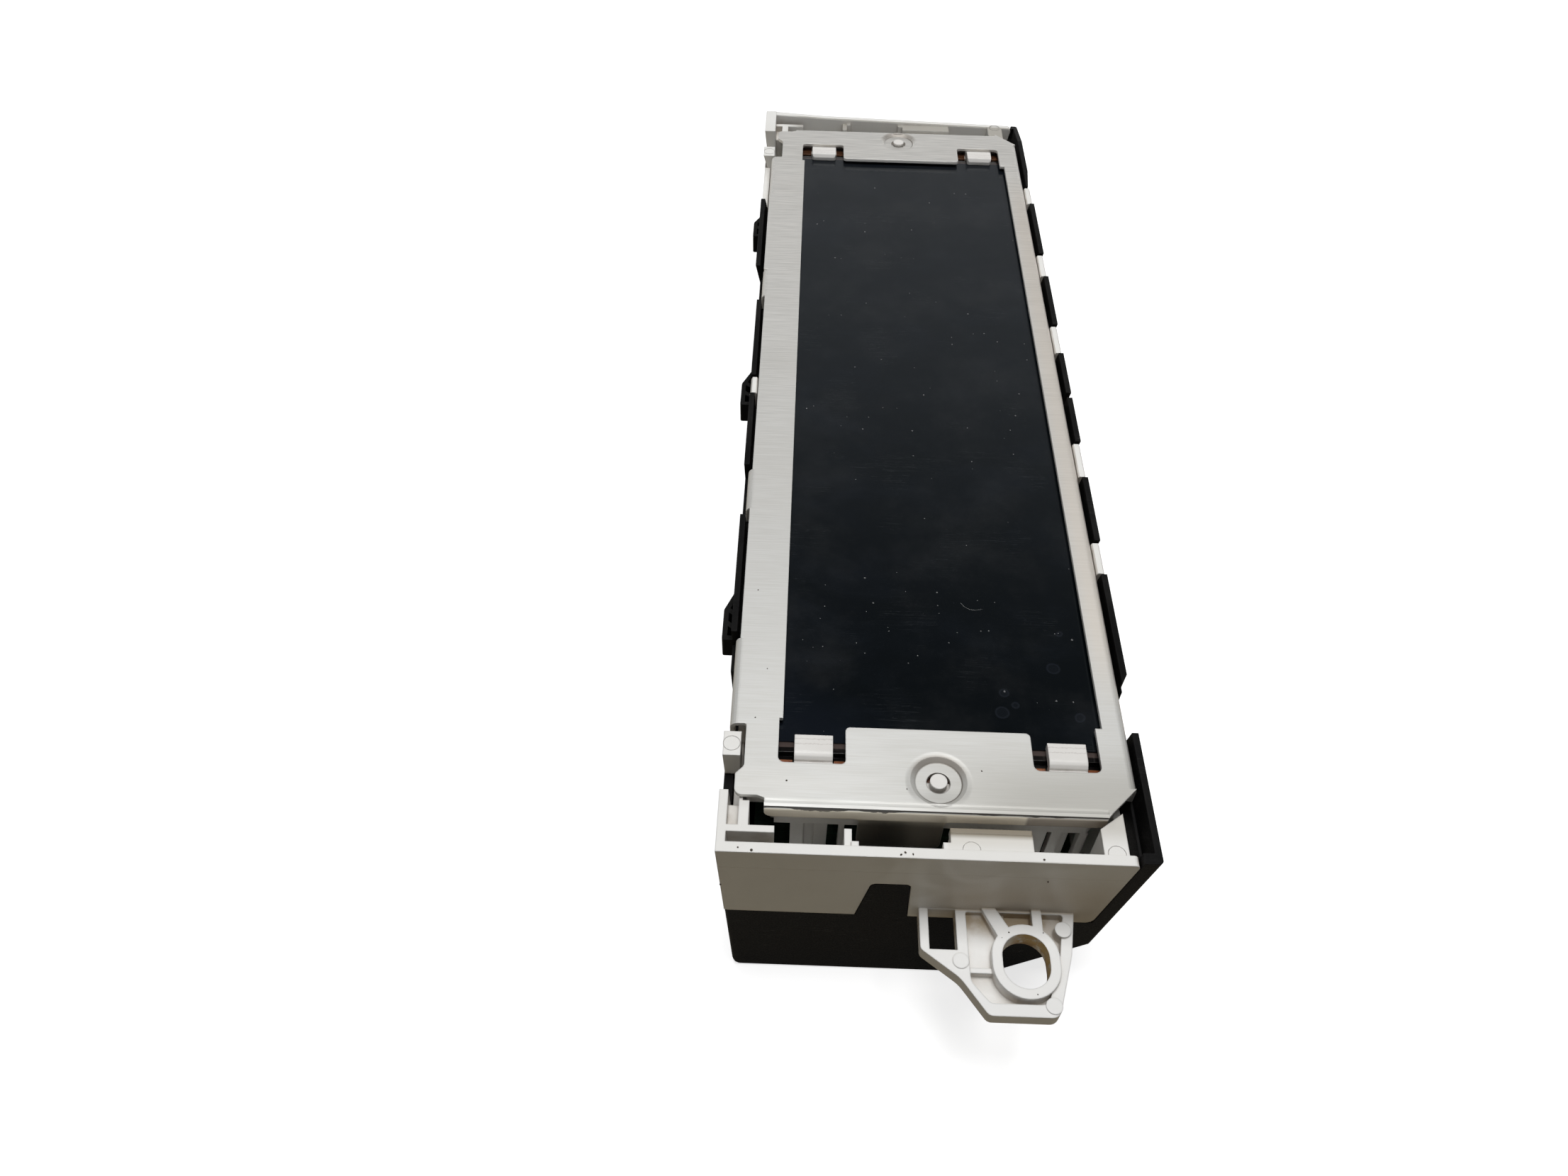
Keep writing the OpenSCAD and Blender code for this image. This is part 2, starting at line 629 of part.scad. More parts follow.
// One mounting lug, drawn outwards along +Y from the end face at y = 0
module lug() {
    hole_x = lug_left + frame_w;
    rib_x = hole_x + hole_w + hole_rib;
    foot = lug_top - lug_t;
    floor_z = foot + 0.7;
    ring_z = lug_top + ring_rise;
    rib_foot = -end_wall / 2;
    difference() {
        union() {
            translate([0, 0, foot]) linear_extrude(floor_z - foot)
                polygon(rounded(lug_outline()));
            // Raised frame and the broad arm beside the rectangular hole
            translate([0, 0, foot]) linear_extrude(lug_t) difference() {
                polygon(rounded(lug_outline()));
                polygon(rounded([[rib_x, 0.3, 0.3], [lug_right - 1.5, 0.3, 0.3],
                    [lug_right - 2.6, lug_l * 0.5, 2], [lug_right - 4.5, lug_l - 1.5, 1.2],
                    [lug_left + 8, lug_l - 1.5, 1], [rib_x + 0.1, lug_l * 0.69, 1.5]]));
            }
            // Higher floor beside the hole, ended by a low cross rib
            translate([0, 0, foot]) linear_extrude(lug_t - 0.9)
                polygon([[rib_x - 0.3, 0], [slot_x - 2, 0], [slot_x - 2, slot_out + 0.9],
                    [rib_x - 0.3, slot_out + 0.9]]);
            block(rib_x - 0.3, slot_x - 3, slot_out + 0.7, slot_out + 1.35, foot, lug_top - 0.3);
            translate([0, 0, foot]) linear_extrude(ring_z - foot) slot_profile(ring_wall);
            // Slanting rib and straight rib from the end wall to the ring
            translate([0, 0, foot]) linear_extrude(ring_z - foot) polygon([
                [slot_x - 5.3, rib_foot], [slot_x - 3.6, rib_foot], [slot_x - 1.2, 3.4],
                [slot_x - 3, 4]]);
            block(slot_x + 1.2, slot_x + 2.4, rib_foot, 3.6, foot, ring_z);
            // Stop pad at the right edge and the low marks left by the ejector pins
            translate([lug_right - 1.75, 2.35, foot]) cylinder(r = 1, h = lug_t + 0.3);
            translate([lug_left + 4.8, slot_out, foot]) cylinder(r = 0.98, h = lug_t + 0.1);
            translate([lug_right - 3.85, lug_l - 1.4, foot]) cylinder(r = 1, h = lug_t + 0.1);
        }
        translate([0, 0, split_h - 1]) linear_extrude(lug_top) slot_profile(0);
        block(hole_x, hole_x + hole_w, 0.1, 0.1 + hole_l, split_h - 1, lug_top + 5);
    }
}

// Ribs, brackets and pads inside the rim at one end, in the near end's place
module rim_details() {
    wall_y = -inner_end + 0.2;
    low = split_h + 4;
    stem_x = left_x(rim_z) + 2.8;
    arm_y = -inner_end + 1.35;
    column_x = right_x(rim_z) - corner_strip - 4.2;
    column_w = 2.95;
    // Angle bracket beside the left corner leg
    block(stem_x, stem_x + rim_rib, arm_y, -half_l + 6.9, low, rim_z);
    block(left_x(rim_z) + 0.9, stem_x + 4, arm_y, arm_y + rim_rib, low, rim_z);
    block(left_x(rim_z) + 0.9, stem_x + eps, arm_y, -half_l + 6.9, low, rim_z - 1.3);
    block(stem_x - 0.35, stem_x + 0.1, arm_y, -half_l + 7.4, low, rim_z);
    // Thin rib with a foot, left of the deep middle opening
    block(snap_x - snap_w / 2 - 1.8, snap_x - snap_w / 2 - 0.9, wall_y - 0.3, -half_l + 3.7,
        low, rim_z - 0.3);
    block(snap_x - snap_w / 2 - 1, snap_x - snap_w / 2 - 0.1, wall_y - 0.3, wall_y + 0.45,
        low, rim_z - 0.1);
    // Thick pad behind the lug
    block(slot_x - 10, slot_x - 0.3, wall_y - 0.3, -half_l + 3.5, low, rim_z - 0.1);
    block(slot_x - 10.9, slot_x - 9.9, wall_y - 0.3, wall_y + 0.7, low, rim_z - 0.1);
    // Column beside the right corner
    intersection() {
        translate([column_x, 0, split_h]) linear_extrude(rim_z - 0.05 - split_h) polygon([
            [0, wall_y - 0.3], [column_w, wall_y - 0.3], [column_w, -half_l + 6.9],
            [0, -half_l + 4.7]]);
        along_y(-half_l, 0) polygon([
            [0, split_h], [right_x(split_h) - corner_strip - seam, split_h],
            [right_x(rim_z) - corner_strip - seam, rim_z], [0, rim_z]]);
    }
    // Corner that ties the right side wall to the end wall behind the black strip
    corner_foot = right_x(split_h) - cover_wall - side_gap;
    corner_top = right_x(carrier_z) - cover_wall - side_gap;
    along_y(-inner_end + seam, -inner_end + 1.2) polygon([
        [corner_foot - 2.6, split_h], [corner_foot, split_h], [corner_top, carrier_z],
        [corner_top - 2.6, carrier_z]]);
    along_y(wall_y - 0.3, -inner_end + 0.5) polygon([
        [corner_foot - 2.6, split_h], [corner_foot - 1.1, split_h], [corner_top - 1.1, carrier_z],
        [corner_top - 2.6, carrier_z]]);
    // Bosses for the board screws, each tied to the end wall by a rib
    for (x = screw_x) {
        translate([x, -half_l + screw_inset, board_top]) cylinder(d = boss_d, h = 6);
        block(x - rim_rib / 2, x + rim_rib / 2, wall_y - 0.3, -half_l + screw_inset,
            split_h, board_top + 6);
    }
}

// Corner leg on the left of an end wall, drawn at the far end
module corner_leg(side) {
    lean = side < 0 ? 0 : far_lean;
    top = rim_z + (side < 0 ? 0 : far_rise + corner_rise);
    along_y(half_l - leg_l, half_l) polygon([
        [left_x(split_h), split_h + seam], [left_x(split_h) + leg_wall, split_h + seam],
        [left_x(rim_z) + leg_wall, top], [left_x(rim_z) - lean, top]]);
}

// Corner post that stands beside the notch in the bezel's edge, drawn at the far end
module corner_post(side) {
    foot = carrier_z + 1.1;
    outer = left_x(foot) + 0.1;
    side_x = left_x(foot) + cover_wall + side_gap;
    inner = left_x(rim_z) + post_w;
    lean = side < 0 ? 0 : far_lean;
    top = total_h - post_drop;
    along_y(half_l - post_inset - post_l, half_l - post_inset) polygon([
        [side_x, foot - 4], [inner, foot - 4], [inner - lean, top], [left_x(total_h) + 0.1 - lean, top],
        [outer, foot], [side_x, foot]]);
}

// Outer wall of the housing between the far left tab of the cover and the corner leg
module far_left_wall() {
    foot = low_gap_h + seam;
    top = total_h - side_flange_h - seam;
    lean = far_lean * (top - split_h) / (rim_z + far_rise + corner_rise - split_h);
    side_x = left_x(foot) + cover_wall + side_gap + side_wall / 2;
    along_y(left_tabs[2][1] + hook_gap + seam, half_l - leg_l + eps) polygon([
        [left_x(foot), foot], [side_x, foot], [side_x, foot + 1.2], [left_x(foot) + leg_wall, foot + 1.2],
        [left_x(top) + leg_wall - lean, top], [left_x(top) - lean, top]]);
}

module housing() color([0.9, 0.9, 0.88]) difference() {
    union() {
        for (side = [-1, 1]) at_end(side) {
            along_y(inner_end, half_l) end_face(side);
            corner_leg(side);
            corner_post(side);
        }
        both_ends() {
            rim_details();
            translate([0, -half_l, 0]) mirror([0, 1, 0]) lug();
        }
        far_left_wall();
        difference() {
            housing_side(inner_end + end_wall / 2, split_h, carrier_z);
            both_ends() block(5, beyond, inner_end - seam, half_l + 1, split_h - 1, total_h);
        }
        housing_side(inner_end - 0.3, board_top + seam, split_h + eps);
        for (h = right_hooks) hook(1, h[0], h[1]);
        hook(-1, left_hook, left_hook_l);
    }
    both_ends() for (x = screw_x)
        translate([x, -half_l + screw_inset, board_top - 1]) cylinder(d = shank_d + 0.1, h = 5.5);
}

// Bent edge of the sheet: a quarter bend and a short straight, seen from its end
module bend_profile(edge, depth) {
    polygon(rounded([
        [edge - bend_r - eps, total_h, 0], [edge - bend_r - eps, sheet_z, 0],
        [edge - sheet, sheet_z, bend_r - sheet], [edge - sheet, total_h - depth, 0],
        [edge, total_h - depth, 0], [edge, total_h, bend_r]]));
}

// Dished ring round a locating pin
module dimple() {
    rotate_extrude() polygon([
        [dimple_hole_d / 2, total_h - dimple_h], [dimple_hole_d / 2, sheet_z - dimple_h],
        [dimple_floor_d / 2, sheet_z - dimple_h], [dimple_d / 2 + 0.1, sheet_z],
        [dimple_d / 2 + 0.1, total_h], [dimple_d / 2, total_h],
        [dimple_floor_d / 2 + 0.05, total_h - dimple_h]]);
}

// Corners of the flat of the bezel at its near end, from left to right
function bezel_end() = [
    [-bezel_left + bend_r, -half_l + post_inset + post_l + 1, 0],
    [-bezel_left + 2.1, -half_l + post_inset + post_l + 1, 0.3],
    [-bezel_left + 2.1, -half_l + post_inset - 1.7, 0.8],
    [-bezel_left + 1.1, -half_l + post_inset - 2.8, 0.5],
    [-bezel_left + 1.1, -half_bezel + 1.35, 0.9], [-bezel_left + 3.9, -half_bezel + 1.35, 0.4],
    [-bezel_left + 4.75, -half_bezel + bend_r, 0], [bezel_right - 3.95, -half_bezel + bend_r, 0],
    [bezel_right - 3.95, -half_bezel + 0.1, 0], [bezel_right - 0.15, -half_bezel + 4, 0],
    [bezel_right - bend_r, -half_bezel + 4, 0]];

// Corners of the window at its near end, from left to right, with both clip notches
function window_end() = let (lx = notch_x - notch_pitch / 2, rx = notch_x + notch_pitch / 2) [
    [window_left, -half_window + 1.1, 0], [lx - notch_w / 2, -half_window + 1.1, 0],
    [lx - notch_w / 2, -half_window - notch_d, 0.8], [lx + notch_w / 2, -half_window - notch_d, 0.6],
    [lx + notch_w / 2, -half_window, 0.6], [rx - notch_w / 2, -half_window, 0.6],
    [rx - notch_w / 2, -half_window - notch_d, 0.8], [rx + notch_w / 2, -half_window - notch_d, 0.9],
    [rx + notch_w / 2, -half_window + 1.1, 0], [window_right, -half_window + 1.1, 0]];

function far_end(pts) = [for (i = [len(pts) - 1:-1:0]) [pts[i][0], -pts[i][1], pts[i][2]]];

module bezel() color([0.72, 0.71, 0.69]) {
    end_left = -bezel_left + 4.75;
    end_right = bezel_right - 3.95;
    translate([0, 0, sheet_z]) linear_extrude(sheet) difference() {
        union() {
            polygon(rounded(concat(bezel_end(), far_end(bezel_end()))));
            for (t = left_tabs)
                translate([-bezel_left + (t == left_tabs[2] ? far_edge_cut : edge_cut), t[0] - 1.2])
                    square([bend_r, t[1] - t[0] + 2.4]);
        }
        polygon(rounded(concat(window_end(), far_end(window_end()))));
        for (s = [-1, 1]) translate([mark_x, s * dimple_y]) circle(d = dimple_d);
    }
    for (s = [-1, 1]) translate([mark_x, s * dimple_y, 0]) dimple();
    // End flanges with the long snap tab
    both_ends() {
        mirror([0, 1, 0]) along_x(end_left, end_right) bend_profile(half_bezel, bend_r + eps);
        along_y(-half_bezel, -half_bezel + sheet) polygon(rounded([
            [end_left, total_h - bend_r, 0], [end_left, total_h - flange_h, 1],
            [snap_x - snap_w / 2, total_h - flange_h, 0.6], [snap_x - snap_w / 2, total_h - snap_h, 0.8],
            [snap_x + snap_w / 2, total_h - snap_h, 0.8], [snap_x + snap_w / 2, total_h - flange_h, 0.6],
            [end_right, total_h - flange_h, 1], [end_right, total_h - bend_r, 0]]));
    }
    // Right flange over the whole side, left flange between the tabs
    along_y(-half_bezel + 4, half_bezel - 4) bend_profile(bezel_right, side_flange_h);
    stops = concat([[0, -half_l + post_inset + post_l - 0.2]], left_tabs,
        [[half_l - post_inset - post_l + 0.2, 0]]);
    mirror([1, 0, 0]) for (i = [0:len(stops) - 2])
        along_y(stops[i][1] + 1.2, stops[i + 1][0] - 1.2) bend_profile(bezel_left, side_flange_h);
}

module lcd_carrier() color([0.93, 0.93, 0.91]) {
    left = -bezel_left + bend_r;
    right = bezel_right - bend_r;
    end_y = half_bezel - bend_r;
    cut = 4.5;
    pocket_left = pane_left - contact_ledge - cell_gap;
    pocket_l = 2 * half_pane + 6.2;
    open_left = window_left - 1.5;
    open_right = window_right + 0.9;
    // Start, end and set-back of each skirt
    legs = [[-17.2, -15.5, 0], [-15.6, -14.1, 0.4], [-14.2, -12.6, 0.15], [-11.2, -10.5, 0],
        [12.5, 14.4, 0.1], [14.9, 16.2, 0], [16.1, 17.2, 0.5], [18.4, 19.4, 0]];
    difference() {
        translate([0, 0, carrier_z]) linear_extrude(sheet_z - carrier_z) polygon([
            [left, -end_y + cut], [left + cut, -end_y], [right - cut, -end_y], [right, -end_y + cut],
            [right, end_y - cut], [right - cut, end_y], [left + cut, end_y], [left, end_y - cut]]);
        // Pocket for the glass and the opening over the light box
        block(pocket_left, pane_right + cell_gap, -half_pane - 0.65, half_pane + 0.65,
            ledge_z, total_h);
        block(pocket_left, pane_right + cell_gap, -pocket_l / 2, pocket_l / 2, step_z, total_h);
        block(open_left, open_right, -half_window - 2.5, half_window + 2.5, carrier_z - 1, total_h);
        // Way out for the ribbon
        block(left - 1, pane_left - contact_ledge, -ribbon_l / 2 - 0.6, ribbon_l / 2 + 0.6,
            carrier_z - 1, total_h);
        // Clear corners at the housing's posts, and room for the dished rings of the bezel
        both_ends() {
            block(left - 1, pocket_left, -half_l, -half_l + post_inset + post_l + 1.8,
                carrier_z - 1, total_h);
            block(left - 1, window_left - 0.7, -half_l, -half_l + 9.6, carrier_z - 1, total_h);
            translate([mark_x, dimple_y, sheet_z - dimple_h - 0.15]) cylinder(d = dimple_d + 1, h = 3);
        }
    }
    both_ends() {
        // Clips that hold the glass down in the notches of the bezel
        for (s = [-1, 1]) {
            x = notch_x + s * notch_pitch / 2 + 0.2;
            clip_end = half_window + notch_d - 0.5;
            block(x - clip_w / 2, x + clip_w / 2, -pocket_l / 2 - 0.1, -half_pane - cell_gap,
                ledge_z - 0.1, sheet_z - 0.1);
            intersection() {
                along_x(x - clip_w / 2, x + clip_w / 2) polygon(rounded([
                    [-clip_end, sheet_z - 0.6, 0], [-half_pane - cell_gap, sheet_z - 0.6, 0],
                    [-half_pane - cell_gap, front_film_z + film_t + 0.05, 0],
                    [-half_pane + clip_reach, front_film_z + film_t + 0.05, 0],
                    [-half_pane + clip_reach, total_h - 0.5, 0],
                    [-half_pane + clip_reach - 0.4, total_h + clip_rise, 0.2],
                    [-clip_end, total_h + clip_rise, clip_bend]]));
                linear_extrude(total_h + 1) polygon(rounded([
                    [x - clip_w / 2, -clip_end - 1, 0], [x + clip_w / 2, -clip_end - 1, 0],
                    [x + clip_w / 2, -half_pane + clip_reach, clip_corner],
                    [x - clip_w / 2, -half_pane + clip_reach, clip_corner]]));
            }
        }
        translate([mark_x, -dimple_y, sheet_z - dimple_h - 0.25]) cylinder(d = pin_d, h = dimple_h + 0.75);
        // Skirts that hang behind the end flange
        for (l = legs) block(l[0], l[1], -end_y + l[2], -end_y + l[2] + skirt_t,
            carrier_z - skirt_h, carrier_z + eps);
    }
}

module front_polariser() color([0.02, 0.02, 0.03])
    block(pane_left + 0.6, pane_right - 0.6, -half_pane + 2.2, half_pane - 2.2,
        front_film_z, front_film_z + film_t);

module front_glass() color([0.35, 0.38, 0.38])
    block(pane_left, pane_right, -half_pane + 0.8, half_pane - 0.8, front_pane_z, front_pane_z + pane_t);

module rear_glass() color([0.33, 0.36, 0.36])
    block(pane_left - contact_ledge, pane_right, -half_pane, half_pane, rear_pane_z, rear_pane_z + pane_t);

module rear_polariser() color([0.05, 0.04, 0.04])
    block(pane_left - contact_ledge + 0.6, pane_right - 0.6, -half_pane + 0.8, half_pane - 0.8,
        rear_film_z, rear_film_z + film_t);

// Amber film under the cell; both ends turn up and lie on the carrier's end steps
module amber_filter() color([0.6, 0.3, 0.1]) difference() {
    rise = half_pane + 0.25;
    flap = half_pane + 2.8;
    top = step_z + filter_t;
    along_x(pane_left - contact_ledge + 0.2, pane_right) polygon([
        [-flap, step_z], [-rise - filter_t, step_z], [-rise - filter_t, ledge_z],
        [rise + filter_t, ledge_z], [rise + filter_t, step_z], [flap, step_z], [flap, top],
        [rise, top], [rise, ledge_z + filter_t], [-rise, ledge_z + filter_t], [-rise, top],
        [-flap, top]]);
    // Cut-outs round the feet of the clips
    both_ends() for (s = [-1, 1]) {
        x = notch_x + s * notch_pitch / 2 + 0.2;
        block(x - clip_w / 2 - 0.2, x + clip_w / 2 + 0.2, half_pane - 0.1, half_pane + 4,
            ledge_z - 1, total_h);
    }
    // Cut-out at the corner posts of the housing
    both_ends() block(-beyond, window_left - 0.5, half_pane - 0.1, half_pane + 4, ledge_z - 1, total_h);
}

module diffuser() color([0.92, 0.92, 0.9])
    block(window_left - 1.3, window_right + 0.7, -half_window - 2.3, half_window + 2.3,
        box_top_z, box_top_z + diffuser_t);

// White box whose slanted chambers spread the light of the lamps under the window
module light_box() color([0.95, 0.95, 0.93]) {
    top_left = window_left - 1.3;
    top_right = window_right + 0.7;
    foot_right = right_x(board_top) - cover_wall - side_gap - side_wall - 0.9;
    end = half_window + 2.3;
    pitch = (2 * end - box_wall) / chambers;
    difference() {
        along_y(-end, end) polygon([[top_left, board_top], [foot_right, board_top],
            [top_right, carrier_z - 1], [top_right, box_top_z], [top_left, box_top_z]]);
        for (i = [0:chambers - 1]) hull() {
            y0 = -end + box_wall + i * pitch;
            block(top_left + 6, foot_right - 6, y0 + 7, y0 + pitch - box_wall - 7,
                board_top - 0.1, board_top + 2);
            block(top_left + box_wall, top_right - box_wall, y0, y0 + pitch - box_wall,
                box_top_z, box_top_z + 1);
        }
        // Relief over the soldered ends of the socket's contacts
        block(socket_x - pin_pitch / 2 - 1.2, socket_x + pin_pitch / 2 + 1.2,
            socket_y - pins_per_row * pin_pitch / 2, socket_y + pins_per_row * pin_pitch / 2,
            board_top - 1, board_top + 1.6);
    }
}

// Thin film conductor: a strip of even thickness that follows the points of a path
module strip(path, t) {
    n = len(path);
    function side_at(i) = let (a = path[max(0, i - 1)], b = path[min(n - 1, i + 1)], d = unit(b - a))
        [-d[1], d[0]];
    polygon(concat([for (i = [0:n - 1]) path[i] + side_at(i) * t / 2],
        [for (i = [n - 1:-1:0]) path[i] - side_at(i) * t / 2]));
}

module lcd_ribbon() color([0.75, 0.45, 0.12]) {
    top = front_pane_z + ribbon_t / 2;
    edge = pane_left - contact_ledge;
    foot = -board_left + 0.9;
    along_y(-ribbon_l / 2, ribbon_l / 2) strip([
        [pane_left - 0.2, top], [edge, top], [edge - 0.2, top - 0.05], [edge - 0.35, top - 0.25],
        [edge - 0.35, carrier_z + 0.6], [edge - 0.1, carrier_z - 0.6], [foot - 0.3, board_top + 8],
        [foot, board_top + 5], [foot, board_top + 0.6]], ribbon_t);
}

module ribbon_socket() color([0.85, 0.82, 0.72]) {
    x = -board_left + 0.9;
    difference() {
        block(x - 0.85, x + 0.85, -ribbon_l / 2 - 1.5, ribbon_l / 2 + 1.5, board_top, board_top + 2);
        block(x - 0.2, x + 0.2, -ribbon_l / 2 - 0.2, ribbon_l / 2 + 0.2, board_top + 0.5, board_top + 3);
    }
}

// Places of the contacts, two rows along the socket
function contact_places() = [for (r = [-1, 1], i = [0:pins_per_row - 1])
    [socket_x + r * pin_pitch / 2, socket_y + (i - (pins_per_row - 1) / 2) * pin_pitch]];

module circuit_board() color([0.1, 0.32, 0.16]) difference() {
    translate([0, 0, board_z]) linear_extrude(board_t) polygon(rounded([
        [-board_left, -half_board, 1.5], [board_right, -half_board, 1.5],
        [board_right, half_board, 1.5], [-board_left, half_board, 1.5]]));
    both_ends() for (x = screw_x)
        translate([x, -half_l + screw_inset, board_z - 1]) cylinder(d = shank_d + 0.5, h = board_t + 2);
    for (p = contact_places())
        translate([p[0], p[1], board_z - 1]) cylinder(d = contact_w * 1.7, h = board_t + 2);
}

module backlight_leds() color([0.95, 0.9, 0.75]) {
    end = half_window + 2.3;
    pitch = (2 * end - box_wall) / chambers;
    for (i = [0:chambers - 1], s = [-1, 1])
        translate([window_x, -end + box_wall / 2 + (i + 0.5) * pitch + s * pitch / 10, board_top])
            difference() {
                translate([-lamp_w / 2, -lamp_l / 2, 0]) cube([lamp_w, lamp_l, lamp_h]);
                translate([0, 0, lamp_h - 0.7]) cylinder(d1 = lamp_l - 1.2, d2 = lamp_l - 0.4, h = 0.75);
            }
}

// Flat chip under the board with bent legs on all four sides
module quad_chip(place, size, thickness) {
    legs_per_side = floor((size - 1.6) / leg_pitch + 0.6) + 1;
    translate([place[0], place[1], board_z]) mirror([0, 0, 1]) {
        translate([0, 0, 0.1]) linear_extrude(thickness) polygon([
            [-size / 2 + 0.8, -size / 2], [size / 2, -size / 2], [size / 2, size / 2],
            [-size / 2, size / 2], [-size / 2, -size / 2 + 0.8]]);
        for (side = [0:3], i = [0:legs_per_side - 1]) rotate(side * 90)
            translate([0, (i - (legs_per_side - 1) / 2) * leg_pitch, 0]) along_y(-0.15, 0.15) polygon([
                [size / 2 - 0.2, thickness / 2], [size / 2 + 0.45, thickness / 2],
                [size / 2 + 0.6, 0.15], [size / 2 + 1.1, 0.15], [size / 2 + 1.1, 0],
                [size / 2 + 0.45, 0], [size / 2 + 0.3, thickness / 2 - 0.15],
                [size / 2 - 0.2, thickness / 2 - 0.15]]);
    }
}

module controller_chip() color([0.12, 0.12, 0.13]) quad_chip(controller_at, controller_w, 1.6);

module driver_chip() color([0.12, 0.12, 0.13]) quad_chip(driver_at, driver_w, 1.4);

// Stands a part on the board's lower face, drawn upwards
module under_board(place) {
    translate([place[0], place[1], board_z]) mirror([0, 0, 1]) children();
}

// Power transistor case with its tab and two legs
module voltage_regulator() color([0.14, 0.14, 0.15]) under_board(regulator_at) {
    half = regulator_w / 2;
    translate([-half, -3, 0.3]) cube([regulator_w, 6.1, 2]);
    translate([-half + 0.6, 3, 0]) cube([regulator_w - 1.2, 1.4, 0.5]);
    translate([-half, 2.6, 0]) cube([regulator_w, 0.5, 0.5]);
    for (s = [-1, 1]) translate([s * (half - 1) - 0.35, 0, 0]) along_x(0, 0.7) polygon([
        [-2.9, 1.2], [-4.2, 1.2], [-4.6, 0.5], [-5.6, 0.5], [-5.6, 0], [-4.2, 0], [-3.9, 0.8], [-2.9, 0.8]]);
}

// Outline of the crystal's can, drawn in by a margin
module crystal_outline(margin) {
    x = crystal_l / 2 - margin;
    y = crystal_w / 2 - margin;
    polygon(rounded([[-x, -y, y - 0.05], [x, -y, y - 0.05], [x, y, y - 0.05], [-x, y, y - 0.05]]));
}

module clock_crystal() color([0.75, 0.75, 0.76]) under_board(crystal_at) {
    linear_extrude(0.4) crystal_outline(0);
    linear_extrude(3.4) crystal_outline(0.5);
}

// Upright cans with their square plastic feet
module smoothing_capacitors() color([0.7, 0.7, 0.72]) for (p = can_places) under_board(p) {
    r = can_d / 2;
    translate([-r - 0.15, -r - 0.15, 0]) cube([can_d + 0.3, can_d + 0.3, 0.8]);
    rotate_extrude() polygon([[0, 0.7], [r - 0.15, 0.7], [r - 0.15, 1.6], [r - 0.4, 1.8],
        [r - 0.4, 2.1], [r, 2.3], [r, can_h - 0.3], [r - 0.25, can_h], [0, can_h]]);
}

// Wound drum between two flanges
module power_coil() color([0.25, 0.24, 0.24]) under_board(coil_at) {
    r = coil_d / 2;
    rotate_extrude() polygon([[0, 0], [r, 0], [r, 1], [r - 0.7, 1.1], [r - 0.7, coil_h - 1.1],
        [r, coil_h - 1], [r, coil_h], [0, coil_h]]);
}

module protection_diode() color([0.15, 0.15, 0.16]) under_board(diode_at) {
    translate([-diode_l / 2, -1.3, 0.15]) cube([diode_l, 2.6, 2]);
    for (s = [-1, 1]) translate([s * (diode_l / 2 + 0.1) - 0.4, -0.75, 0]) cube([0.8, 1.5, 0.9]);
}

// Small resistors and capacitors in rows beside the chips
module chip_components() color([0.55, 0.5, 0.42])
    for (i = [0:9], j = [0:1])
        under_board([small_at[0] + j * small_pitch[0], small_at[1] + i * small_pitch[1]])
            cube([small_l, small_l / 2, 0.6]);

module plug_socket() color([0.1, 0.1, 0.11]) {
    x0 = socket_x - socket_w / 2;
    x1 = socket_x + socket_w / 2;
    y0 = socket_y - socket_l / 2;
    y1 = socket_y + socket_l / 2;
    mouth = 0.4;
    base = 2.4;
    difference() {
        block(x0, x1, y0, y1, mouth, board_z);
        block(x0 + socket_wall, x1 - socket_wall, y0 + socket_wall, y1 - socket_wall, mouth - 1,
            board_z - base);
        // Keyway on one long side
        block(x1 - socket_wall - eps, x1 - socket_wall / 2, socket_y - 3, socket_y + 3, mouth - 1,
            board_z - base);
        for (p = contact_places())
            block(p[0] - contact_w / 2 - 0.03, p[0] + contact_w / 2 + 0.03,
                p[1] - contact_w / 2 - 0.03, p[1] + contact_w / 2 + 0.03, mouth, board_z + 1);
    }
}

module socket_contacts() color([0.78, 0.68, 0.4])
    for (p = contact_places())
        block(p[0] - contact_w / 2, p[0] + contact_w / 2, p[1] - contact_w / 2, p[1] + contact_w / 2,
            board_z - 7, board_top + 1);

module board_screws() color([0.6, 0.6, 0.58])
    both_ends() for (x = screw_x) translate([x, -half_l + screw_inset, 0]) difference() {
        union() {
            translate([0, 0, board_z]) cylinder(d = shank_d, h = board_t + 4);
            translate([0, 0, board_z - 1.5]) cylinder(d1 = head_d - 1, d2 = head_d, h = 0.5);
            translate([0, 0, board_z - 1]) cylinder(d = head_d, h = 1);
        }
        for (a = [0, 90]) rotate(a) translate([-1.1, -0.25, board_z - 2]) cube([2.2, 0.5, 1.2]);
    }

rear_cover();
housing();
bezel();
lcd_carrier();
front_polariser();
front_glass();
rear_glass();
rear_polariser();
amber_filter();
diffuser();
light_box();
lcd_ribbon();
ribbon_socket();
circuit_board();
backlight_leds();
controller_chip();
driver_chip();
voltage_regulator();
clock_crystal();
smoothing_capacitors();
power_coil();
protection_diode();
chip_components();
plug_socket();
socket_contacts();
board_screws();
